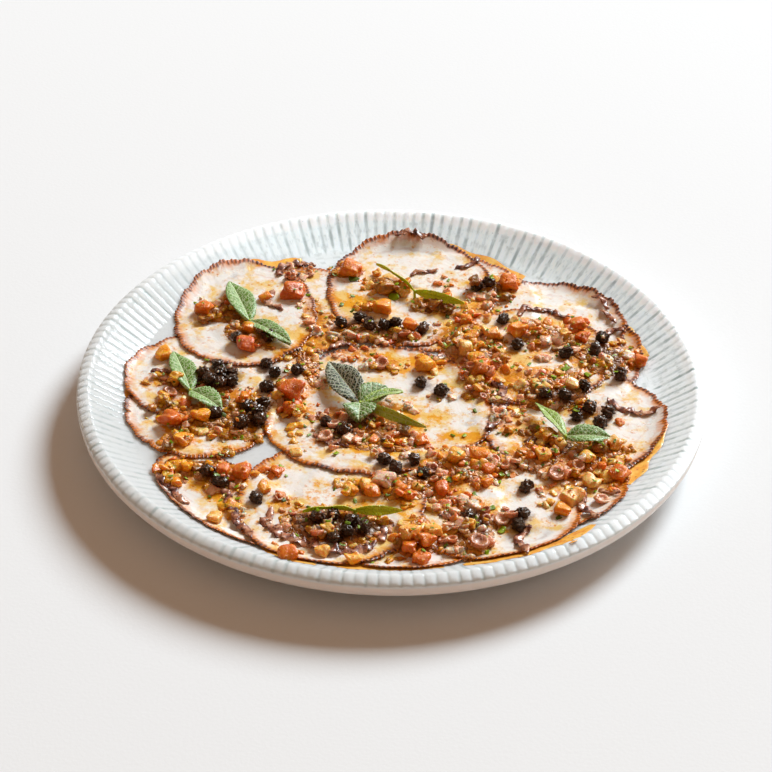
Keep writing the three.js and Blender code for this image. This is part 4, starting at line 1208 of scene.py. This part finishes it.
def cup_net(turns, seed):
    """A sucker: a small cup with a thick round rim."""
    draw = np.random.default_rng(seed)
    profile = [(0.0, 0.05), (0.28, 0.0), (0.5, 0.35), (0.72, 0.8), (0.92, 0.75), (1.0, 0.3), (0.8, -0.5),
               (0.0, -0.7)]
    rings = []
    for radius, z in profile:
        count = turns if radius else 1
        angle = circle(count)
        uneven = 1 + 0.1 * np.sin(2 * angle + draw.uniform(0, 6))
        uneven += 0.06 * np.sin(5 * angle + draw.uniform(0, 6))
        rings.append(np.column_stack([radius * uneven * np.cos(angle), radius * uneven * np.sin(angle),
                                      np.full(count, z)]))
    faces = ring_faces(rings)
    squares = [part if part.shape[1] == 4 else np.column_stack([part, part[:, 2]]) for part in faces]
    return np.concatenate(rings), np.concatenate(squares)


def dice_finish(name, stops, depth, edge_colour, marks=0.35, vivid=1.3):
    """A wet cut surface: tint picks the colour, noise clouds it and flecks it with a second colour."""
    dice = Finish(name, {**soft(depth, (1.0, 0.45, 0.2), 3.0), "Coat Weight": 0.18,
                         "Coat Roughness": 0.18, "Coat Tint": (1.0, 0.92, 0.82, 1.0)})
    tint = dice.attribute("tint")
    cloud = dice.noise(2.4, 4.0, roughness=0.65)
    colour = dice.ramp(tint * 0.5 + cloud * 0.5, stops)
    flecks = dice.noise(1.1, 3.0).step(0.54, 0.72)
    colour = dice.mix(flecks * marks, colour, edge_colour)
    soak = dice.noise(7.0, 4.0, roughness=0.65).step(0.42, 0.62)
    colour = dice.mix(soak * 0.42, colour, paint(212, 132, 70))
    colour = dice.mix(dice.noise(5.0, 3.0).step(0.52, 0.7) * 0.4, colour, paint(186, 118, 96))
    dice.set({"Base Color": dice.vivid(colour, vivid, 1.12), "Roughness": 0.38,
              "Normal": dice.bump(cloud + flecks * 0.4, 0.6)})
    return dice


piles = {
    "t": Pile("tomato_dice", [lump(4, 0.6, 0.17, 1.6, seed) for seed in range(6)]),
    "o": Pile("onion_dice", [bent(lump(4, 0.6, 0.14, 1.7, 10 + n), 0.25 * n - 0.2) for n in range(5)]),
    "b": Pile("olive_bits", [lump(4, 0.6, 0.24, 1.1, 20 + seed) for seed in range(7)]),
    "p": Pile("octopus_bits", [lump(4, 0.4, 0.22, 1.3, 30 + seed) for seed in range(7)]),
    "s": Pile("suckers", [cup_net(14, seed) for seed in range(4)]),
}
finishes = {
    "t": dice_finish("tomato_flesh", [(0.2, paint(206, 92, 34)), (0.5, paint(230, 130, 56)),
                                      (0.8, paint(242, 168, 100))], 0.8, paint(254, 200, 136)),
    "o": dice_finish("onion_flesh", [(0.2, paint(238, 156, 78)), (0.5, paint(250, 192, 118)),
                                     (0.8, paint(253, 220, 166))], 0.8, paint(236, 156, 88), 0.3, 1.2),
    "b": dice_finish("olive_flesh", [(0.2, paint(84, 58, 28)), (0.34, paint(150, 112, 58)),
                                     (0.52, paint(216, 168, 102)), (0.85, paint(246, 212, 158))], 0.7,
                     paint(120, 78, 40)),
    "p": dice_finish("octopus_trim", [(0.2, paint(206, 146, 124)), (0.4, paint(240, 194, 168)),
                                      (0.8, paint(253, 234, 218))], 0.8, paint(180, 112, 92)),
    "s": dice_finish("sucker_skin", [(0.2, paint(144, 98, 80)), (0.5, paint(214, 164, 138)),
                                     (0.8, paint(244, 214, 192))], 0.5, paint(100, 62, 52), 0.5, 1.15),
}
print("forms ready:", ", ".join(pile.name for pile in piles.values()))

# %% [markdown]
# ## Capers and the large dice
# These are the pieces that the eye finds first, so each has its own place, listed one by one: x, y and, for
# a die, its size and kind. They are set down before the crumbs, so that the crumbs gather round and on them.
# A second map keeps the places they take, and later pieces of some size stay out of it.

# %% Set the capers and the large dice
# kind, x, y, size
LARGE_DICE = [
    ("t", -47, 79, 12), ("t", -60, 73, 7), ("t", -88, 64, 9), ("b", -77, 73, 8), ("b", -88, 54, 7),
    ("o", -66, 48, 7), ("t", -67, 36, 11), ("o", -104, 27, 9), ("b", -97, 9, 8), ("b", -101, -8, 7),
    ("b", -106, -14, 5), ("t", -97, -21, 10), ("o", -91, -36, 9), ("b", -97, -41, 7), ("o", -84, -18, 9),
    ("t", -65, -5, 8), ("t", -45, 2, 12), ("t", -44, -12, 9), ("t", -20, 99, 11), ("b", -8, 94, 5),
    ("b", -4, 84, 11), ("b", 5, 80, 9), ("b", 20, 70, 10), ("b", 26, 66, 8), ("o", 25, 75, 6),
    ("b", 10, 66, 5), ("o", -5, 67, 10), ("b", -12, 66, 6), ("b", 38, 84, 7), ("t", 54, 89, 10),
    ("b", 53, 76, 6), ("o", 45, 47, 9), ("t", 57, 49, 10), ("o", 36, 44, 8), ("t", 34, 57, 7),
    ("t", 8, 52, 8), ("t", 85, 55, 9), ("b", 79, 47, 7), ("t", 87, 45, 7), ("t", 113, 27, 7),
    ("t", 40, 20, 12), ("o", 33, 35, 9), ("o", 38, 27, 8), ("b", 50, 27, 7), ("o", 15, 22, 10),
    ("p", -5, -15, 8), ("b", 5, -27, 8), ("t", 13, -35, 7), ("t", 38, -44, 9), ("o", 28, -45, 8),
    ("t", 42, -55, 7), ("t", 61, -44, 6), ("o", 81, 8, 8), ("b", 68, -29, 10), ("b", 72, -34, 8),
    ("b", 91, -37, 9), ("b", 97, -35, 9), ("o", 85, -45, 8), ("o", 66, -43, 8), ("b", 79, -56, 6),
    ("t", 98, -56, 10), ("t", 91, -51, 6), ("o", 86, -62, 9), ("o", 77, -72, 10), ("o", 73, -81, 8),
    ("o", -96, -57, 7), ("o", -88, -55, 6), ("o", -92, -67, 6), ("t", -72, -57, 8), ("t", -64, -58, 9),
    ("t", -49, -58, 7), ("o", -54, -69, 7), ("o", -74, -90, 8), ("t", -42, -113, 10), ("o", -28, -111, 7),
    ("p", -3, -62, 11), ("t", -8, -70, 9), ("o", -17, -70, 7), ("t", 4, -68, 7), ("t", 8, -73, 7),
    ("t", 22, -68, 8), ("o", 8, -98, 10), ("o", 18, -96, 9), ("t", 15, -103, 8), ("t", 8, -107, 8),
    ("t", 13, -114, 9), ("o", -15, -117, 7), ("b", 33, -85, 7), ("b", -26, -96, 7), ("s", 71, -57, 9),
    ("s", 37, -103, 9), ("s", -5, 21, 8), ("s", 90, -75, 7), ("s", 47, -89, 7), ("s", -29, -34, 8),
    ("s", 5, 45, 7), ("s", -99, 3, 7),
]
SINGLE_NODES = {
    "t": ["tomato_far_left", "tomato_near_left"],
    "o": ["onion_lower_left", "onion_upper_left", "onion_lower_right"],
}
CAPER_NODES = ["caper_left_a", "caper_middle_a", "caper_middle_b", "caper_middle_near", "caper_lower_left",
               "caper_near_right"]
taken = np.zeros(ground.shape, bool)


def claim(x, y, reach):
    """Marks the places that a large piece takes."""
    part = patch_of_grid(x, y, reach)
    taken[part] |= np.hypot(grid_x[part] - x, grid_y[part] - y) < reach


large_forms = {
    "t": [lump(8, 0.6, 0.17, 1.2, 110 + seed) for seed in range(5)],
    "o": [bent(lump(8, 0.6, 0.15, 1.3, 120 + seed), 0.22 * seed - 0.2) for seed in range(4)],
    "b": [lump(8, 0.6, 0.22, 1.0, 130 + seed) for seed in range(5)],
    "p": [lump(7, 0.5, 0.2, 1.3, 140 + seed) for seed in range(3)],
    "s": [cup_net(28, 150 + seed) for seed in range(4)],
}
capers = Pile("capers", [lump(11, 0.8, 0.19, 0.6, 50 + seed) for seed in range(6)])
draw = np.random.default_rng(11)
for x, y in CAPERS:
    half = np.array([draw.uniform(3.2, 4.1), draw.uniform(2.8, 3.5), draw.uniform(2.5, 3.1)])
    y = float(seen(x, y, half[2]))
    z = settle(x, y, half[0], 2 * half[2], 0.12)
    claim(x, y, half[0] + 0.6)
    capers.add((x, y, z), half, draw.uniform(0, 6.3), draw.uniform(-0.5, 0.5, 2), draw)
for kind, x, y, size in LARGE_DICE:
    flat = 0.4 if kind == "s" else draw.uniform(0.5, 0.72)
    half = size / 2 * np.array([1.0, draw.uniform(0.75, 0.98), flat])
    y = float(seen(x, y, half[2]))
    z = settle(x, y, 0.9 * half[0], 2 * half[2], 0.18)
    claim(x, y, 0.8 * half[0])
    form = large_forms[kind][int(draw.integers(len(large_forms[kind])))]
    piles[kind].add((x, y, z), half, draw.uniform(0, 6.3), draw.uniform(-0.22, 0.22, 2), draw, form)
print("capers:", len(CAPERS), "large dice:", len(LARGE_DICE))

# %% [markdown]
# ## Filling the patches
# Dice fill each patch, then come crumbs no bigger than rice, and then smaller dice. Each piece gets a random
# place in the oval and is let down on the height map there, so the heap grows as a real one does. The crumbs
# also scatter a little way past the edge of the patch. They have a simpler form, two squares a side, and
# their own piece for each colour.

# %% Fill the patches
# the distance between pieces, and their least and greatest size
LARGE_FILL = (5.6, 5.2, 8.2)
SMALL_FILL = (5.2, 3.4, 5.4)
CRUMB_SPACING = 8.5
NOT_SUCKERS = 0.55  # the share of suckers that are bits of octopus instead
BARE = (-1.6, 0.5)  # nothing is set down where slow waves lie below a draw from this range
STAYS_OUT = 2.8  # pieces larger than this stay out of the places that are taken
TAKES_PLACE = 3.6  # pieces larger than this take a place of their own
crumb_forms = [lump(2, 0.6, 0.25, 1.2, 60 + seed) for seed in range(8)]
crumbs = {kind: Pile(name, crumb_forms) for kind, name in
          {"t": "tomato_crumbs", "o": "onion_crumbs", "b": "olive_crumbs", "p": "octopus_crumbs"}.items()}


def strewn_area(patch):
    """The area of a patch in square millimetres, less where it is strewn thinly."""
    return np.pi * patch[2] * patch[3] * patch[6]


def fill_patch(patch, spacing, low, high, draw):
    """Scatters pieces of a size over one patch, one for each spacing squared of its area."""
    for _ in range(round(strewn_area(patch) / spacing ** 2)):
        share = 1.05 * math.sqrt(draw.random())
        x, y = patch_point(patch, share, draw.uniform(0, 2 * np.pi))
        size = draw.uniform(low, high) * (1.1 - 0.3 * share)
        y = float(seen(x, y, 0.3 * size))
        kind = patch[5][int(draw.integers(len(patch[5])))]
        if kind == "s" and draw.random() < NOT_SUCKERS:
            kind = "p"
        if ripples(x, y, 7.0, 950) < draw.uniform(*BARE):
            continue
        if math.hypot(x, y) > BED_RADIUS or (size > STAYS_OUT and read(1.0 * taken, x, y) > 0.5):
            continue
        if kind == "s":
            half = size / 2 * np.array([1.0, draw.uniform(0.8, 1.0), 0.5])
            z = settle(x, y, half[0], 2 * half[2], 0.15)
        else:
            half = size / 2 * np.array([1.0, draw.uniform(0.6, 0.95), draw.uniform(0.35, 0.6)])
            z = settle(x, y, 0.8 * half[0], 2 * half[2], 0.5)
        if size > TAKES_PLACE:
            claim(x, y, 0.5 * half[0])
        piles[kind].add((x, y, z), half, draw.uniform(0, 6.3), draw.uniform(-0.55, 0.55, 2), draw)


def strew_crumbs(patch, spacing, draw):
    """Scatters crumbs over a patch and a little past its edge."""
    mix = (patch[5] + "op").replace("s", "p")
    for _ in range(round(strewn_area(patch) / spacing ** 2)):
        share = abs(draw.normal(0.6, 0.4))
        x, y = patch_point(patch, share, draw.uniform(0, 2 * np.pi))
        y = float(seen(x, y, 0.5))
        if math.hypot(x, y) > BED_RADIUS + 0.5:
            continue
        half = draw.uniform(1.3, 2.6) / 2 * np.array([1.0, draw.uniform(0.6, 0.9), draw.uniform(0.5, 0.8)])
        z = settle(x, y, 0.7 * half[0], 2 * half[2], 0.5)
        kind = mix[int(draw.integers(len(mix)))]
        crumbs[kind].add((x, y, z), half, draw.uniform(0, 6.3), draw.uniform(-0.8, 0.8, 2), draw)


draw = np.random.default_rng(21)
for patch in PATCHES:
    fill_patch(patch, *LARGE_FILL, draw)
for patch in PATCHES:
    strew_crumbs(patch, CRUMB_SPACING, draw)
for patch in PATCHES:
    fill_patch(patch, *SMALL_FILL, draw)
for kind, pile in crumbs.items():
    dress(pile.make(), finishes[kind])
for kind, pile in piles.items():
    dress(pile.make(), finishes[kind], SINGLE_NODES.get(kind, ()))

# %% [markdown]
# ## The capers' finish
# A caper is a wrinkled bud, nearly black once it has been fried, with a brown sheen and sharp wet highlights.

# %% Finish the capers
def caper_finish():
    caper = Finish("caper_skin", {"Coat Weight": 0.45, "Coat Roughness": 0.14, "Specular IOR Level": 0.3,
                                  "Specular Tint": (1.0, 0.72, 0.5, 1.0), "Coat Tint": (1.0, 0.72, 0.5, 1.0)})
    tint = caper.attribute("tint")
    folds = caper.noise(1.5, 4.0, distortion=1.8)
    colour = caper.mix(folds.step(0.42, 0.66) * (0.25 + tint * 0.75), paint(26, 14, 6), paint(118, 66, 24))
    caper.set({"Base Color": colour, "Roughness": 0.42, "Normal": caper.bump(folds, 1.2)})
    return caper


dress(capers.make(), caper_finish(), CAPER_NODES)

# %% [markdown]
# ## Chopped herbs
# Flecks of chopped herb are thin curved chips, bright green. The larger ones have listed places, and small
# ones are strewn over all patches.

# %% Scatter the herbs
FLECK_AREA = 75.0  # square millimetres of patch for each small fleck
# x, y, size
HERBS = [
    (-19, 88, 6), (26, 88, 3), (-24, 67, 3), (-19, 74, 3), (-19, 62, 3), (33, 62, 3), (57, 55, 3),
    (67, 43, 3), (81, 37, 3), (101, 29, 3), (78, 18, 6), (88, 14, 4), (37, -14, 3), (27, -32, 3),
    (32, -32, 3), (24, 6, 2), (-84, 22, 3), (-73, -7, 4), (-74, -21, 3), (-48, 14, 3), (-24, -46, 4),
    (-45, -62, 2), (-66, -70, 3), (-77, -77, 3), (-15, -74, 3), (-1, -74, 3), (8, -75, 3), (14, -107, 3),
    (43, -82, 4), (47, -95, 5), (71, -88, 3), (81, -46, 3), (101, -34, 3), (48, -59, 6), (31, -112, 3),
    (0, 73, 7), (-46, 72, 3),
]


def chip(seed):
    """A small bent leaf chip: a flattened lump."""
    points, faces = lump(3, 0.5, 0.25, 1.4, seed)
    return bent((points * [1, 1, 0.22], faces), 0.35)


def add_chip(x, y, size):
    y = float(seen(x, y, 0.3))
    half = size / 2 * np.array([1.0, draw.uniform(0.4, 0.75), 0.5])
    z = settle(x, y, 0.5 * half[0], 0.3 * size, 0.1)
    herbs.add((x, y, z), half, draw.uniform(0, 6.3), draw.uniform(-0.4, 0.4, 2), draw)


herbs = Pile("herb_flecks", [chip(80 + seed) for seed in range(6)])
draw = np.random.default_rng(31)
for x, y, size in HERBS:
    add_chip(x, y, size)
for patch in PATCHES:
    for _ in range(round(strewn_area(patch) / FLECK_AREA)):
        x, y = patch_point(patch, 1.1 * math.sqrt(draw.random()), draw.uniform(0, 2 * np.pi))
        add_chip(x, y, draw.uniform(1.6, 3.2))


def herb_finish():
    herb = Finish("chopped_herb", {**soft(0.3, (0.5, 0.8, 0.2), 0.6), "Coat Weight": 0.15,
                                   "Coat Roughness": 0.2, "Specular IOR Level": 0.2})
    tint = herb.attribute("tint")
    colour = herb.ramp(tint * 0.8 + herb.noise(1.5) * 0.2, [
        (0.1, paint(84, 96, 32)), (0.5, paint(122, 146, 46)), (0.9, paint(164, 182, 74))])
    herb.set({"Base Color": herb.vivid(colour, 1.3), "Roughness": 0.45,
              "Normal": herb.bump(herb.noise(0.8), 0.2)})
    return herb


dress(herbs.make(), herb_finish())

# %% [markdown]
# ## The mint
# Mint leaves are quilted: the blade bulges between sunken pale veins. Each leaf is a thin closed sheet,
# folded along its midrib, and the leaves of one sprig meet at a short stem. The sheet carries how far along
# the leaf and how far across a point lies, and the finish draws the veins with them, so the veins follow the
# leaf however it is turned. Two more numbers say how dark the leaf is and how much bright yellow green it
# gets, partly the thin leaf's own colour and partly painted glow of light through it.

# %% Shape the mint
# name, foot (x, y), how far it is held up, and leaves as heading in degrees, length, width, roll in degrees,
# darkness, and the share of bright yellow green that is partly painted glow
SPRIGS = [
    ("mint_far_left", -66, 51, 0.5, [(109, 34, 12, 8, 0.1, 0), (-41, 26, 10, -8, 0.25, 0)]),
    ("mint_left", -90, -1, 0.5, [(108, 31, 11, 10, 0.1, 0), (-43, 20, 12, -6, 0.15, 0)]),
    ("mint_middle", -14, -11, 3.0, [(116, 34, 14, -12, 0.95, 0), (45, 17, 12, 10, 0.4, 0),
                                    (-92, 13, 14, 0, 0.4, 0), (-31, 34, 4, 60, 0.6, 0.6),
                                    (26, 21, 7, -10, 0.2, 0.2)]),
    ("mint_far", 10, 75, 0.0, [(129, 29, 3, 60, 0.3, 1), (-22, 25, 4, 55, 0.3, 1)]),
    ("mint_right", 76, -35, 0.8, [(117, 27, 7, 20, 0.1, 0.2), (-2, 20, 11, 4, 0.2, 0)]),
    ("mint_near", -15, -88, 0.0, [(183, 22, 3, 60, 0.3, 1), (1, 20, 3.6, 55, 0.3, 1)]),
]
LEAF_LENGTH_STEPS = 56
LEAF_WIDTH_STEPS = 24
LEAF_THICKNESS = 0.35
LEAF_FOLD = 0.45
LEAF_ARCH = 3.0
VEIN_PITCH = 3.4
STEM_RADIUS = 0.7
LEAF_CLEARANCE = 0.2
CLEAR_SHARE = 0.93  # the share of a sprig's points that clear the food


def leaf_sheet(length, width):
    """A leaf from the origin along +X: its points, quads, and the along and across of each point."""
    t, s = np.meshgrid(np.linspace(0, 1, LEAF_LENGTH_STEPS + 1), np.linspace(-1, 1, LEAF_WIDTH_STEPS + 1),
                       indexing="ij")
    half = 0.35 + width / 2 * np.sin(np.pi * t ** 0.85) ** 0.8
    notch = 1 + 0.03 * np.abs(s) ** 4 * np.sin(2 * np.pi * length * t / 1.9)
    across = s * half * notch
    vein = np.cos(2 * np.pi * (length * t - 0.9 * np.abs(across)) / VEIN_PITCH)
    quilt = -0.2 * np.clip(vein, 0, 1) ** 3 * (1 - np.abs(s)) - 0.14 * np.exp(-(across / 0.5) ** 2)
    z = LEAF_ARCH * 4 / 3 * t * (1 - t) + LEAF_FOLD * np.abs(across) + 0.4 * s * np.sin(9 * t) + quilt
    z = z - 0.25 * LEAF_FOLD * width * np.abs(s) ** 3
    points, quads = [], []
    rows, columns = t.shape
    number = np.arange(rows * columns).reshape(rows, columns)
    for face, flip in ((0.5, False), (-0.5, True)):
        side = z + face * LEAF_THICKNESS
        points.append(np.column_stack([(length * t).ravel(), across.ravel(), side.ravel()]))
        quad = np.stack([number[:-1, :-1], number[1:, :-1], number[1:, 1:], number[:-1, 1:]], -1)
        quad = quad.reshape(-1, 4)
        quads.append(quad[:, ::-1] + rows * columns if flip else quad)
    edge = np.concatenate([number[:, 0], number[-1, 1:], number[-2::-1, -1], number[0, -2:0:-1]])
    following = np.roll(edge, -1)
    lower = rows * columns
    quads.append(np.column_stack([following, edge, edge + lower, following + lower]))
    along = np.tile((length * t).ravel(), 2)
    return np.concatenate(points), np.concatenate(quads), along, np.tile(across.ravel(), 2)


def stem_rings(low, high):
    """A short stem: rings between two heights, closed at both ends."""
    angle = circle(12)
    rings = [np.array([[0.0, 0.0, high]])]
    for share, radius in ((0.0, 0.7), (0.06, 1.0), (0.5, 0.9), (0.95, 1.1), (1.0, 0.8)):
        r = radius * STEM_RADIUS
        z = np.full(12, high + share * (low - high))
        rings.append(np.column_stack([r * np.cos(angle), r * np.sin(angle), z]))
    return rings + [np.array([[0.0, 0.0, low]])]


def add_sprig(name, x, y, held, leaves):
    """Lets a sprig down until only few of its points would touch the food, and holds it up by held."""
    points, faces = [], []
    carried = {"along": [], "across": [], "dark": [], "yellow_and_glow": []}
    total = 0
    for heading, length, width, roll, darkness, yellow_and_glow_share in leaves:
        leaf, quads, along, across = leaf_sheet(length, width)
        leaf = leaf @ rotation(math.radians(roll), 0.0, math.radians(heading)).T + [x, y, 0]
        points.append(leaf)
        faces.append(quads + total)
        for key, values in zip(carried, (along, across, np.full(len(leaf), darkness),
                                         np.full(len(leaf), yellow_and_glow_share))):
            carried[key].append(values)
        total += len(leaf)
    blades = np.concatenate(points)
    needed = read(ground, blades[:, 0], blades[:, 1]) + LEAF_CLEARANCE - blades[:, 2]
    lift = float(np.quantile(needed, CLEAR_SHARE)) + held
    rings = [ring + [x, y, 0] for ring in stem_rings(float(read(ground, x, y)) - 0.5, lift + 0.6)]
    faces += ring_faces(rings, total)
    stem = np.concatenate(rings)
    piece = add_mesh(name + "_sprig", np.concatenate([blades + [0, 0, lift], stem]), faces)
    for key, value in (("along", 0.0), ("across", 3.0), ("dark", 0.3), ("yellow_and_glow", 0.5)):
        add_values(piece, key, np.concatenate(carried[key] + [np.full(len(stem), value)]))
    return piece


# %% [markdown]
# ## The finish of the mint
# The blade is a dull grey green, paler and almost white along the veins, with a fine net between the side
# veins. Some leaves are much darker, and the thin ones are bright yellow green, partly their own colour and
# partly painted glow of light through them, as the leaf's numbers say.

# %% Finish the mint
def mint_finish():
    mint = Finish("mint_leaf", {**soft(0.15, (0.3, 0.8, 0.2), 0.5), "Coat Roughness": 0.25,
                                "Coat Weight": 0.15})
    along = mint.attribute("along")
    across = mint.attribute("across")
    dark = mint.attribute("dark")
    yellow_and_glow = mint.attribute("yellow_and_glow")
    place = mint.vector(along, across, dark * 20.0)
    bend = mint.noise(3.0, 2.0, place) * 1.6
    side = ((along - across.size() * 0.9 + bend) * (2 * math.pi / VEIN_PITCH)).sine()
    side_vein = side.step(0.78, 0.99)
    midrib = 1 - across.size().step(0.15, 0.5)
    net = 1 - mint.cells(1.5, "DISTANCE_TO_EDGE", place).step(0.03, 0.18)
    vein = side_vein.math("MAXIMUM", midrib).math("MAXIMUM", net * 0.65)
    blade = mint.mix(dark.step(0.1, 0.9), paint(108, 146, 68), paint(46, 64, 32))
    blade = mint.mix(mint.noise(2.0, 3.0, place) * 0.5, blade, paint(104, 132, 62))
    blade = mint.mix(dark.step(0.7, 0.95) * 0.9, blade, paint(28, 40, 20))
    pale = mint.mix(dark.step(0.1, 0.9), paint(218, 228, 186), paint(226, 228, 204))
    colour = mint.mix(vein * 0.85, blade, pale)
    # Bright yellow green for the thin leaves: partly their own colour, partly painted glow of light through
    # them.
    yellow_and_glow_green = mint.mix(mint.noise(3.0, 3.0, place), paint(214, 234, 70), paint(250, 254, 140))
    colour = mint.mix(yellow_and_glow, colour, mint.mix(vein * 0.4, yellow_and_glow_green, paint(196, 208, 120)))
    mint.set({"Base Color": mint.vivid(colour, 1.25), "Roughness": 0.5, "Normal": mint.bump(1 - vein, 0.3)})
    return mint


mint = mint_finish()
for sprig in SPRIGS:
    dress(add_sprig(*sprig), mint, [sprig[0]])
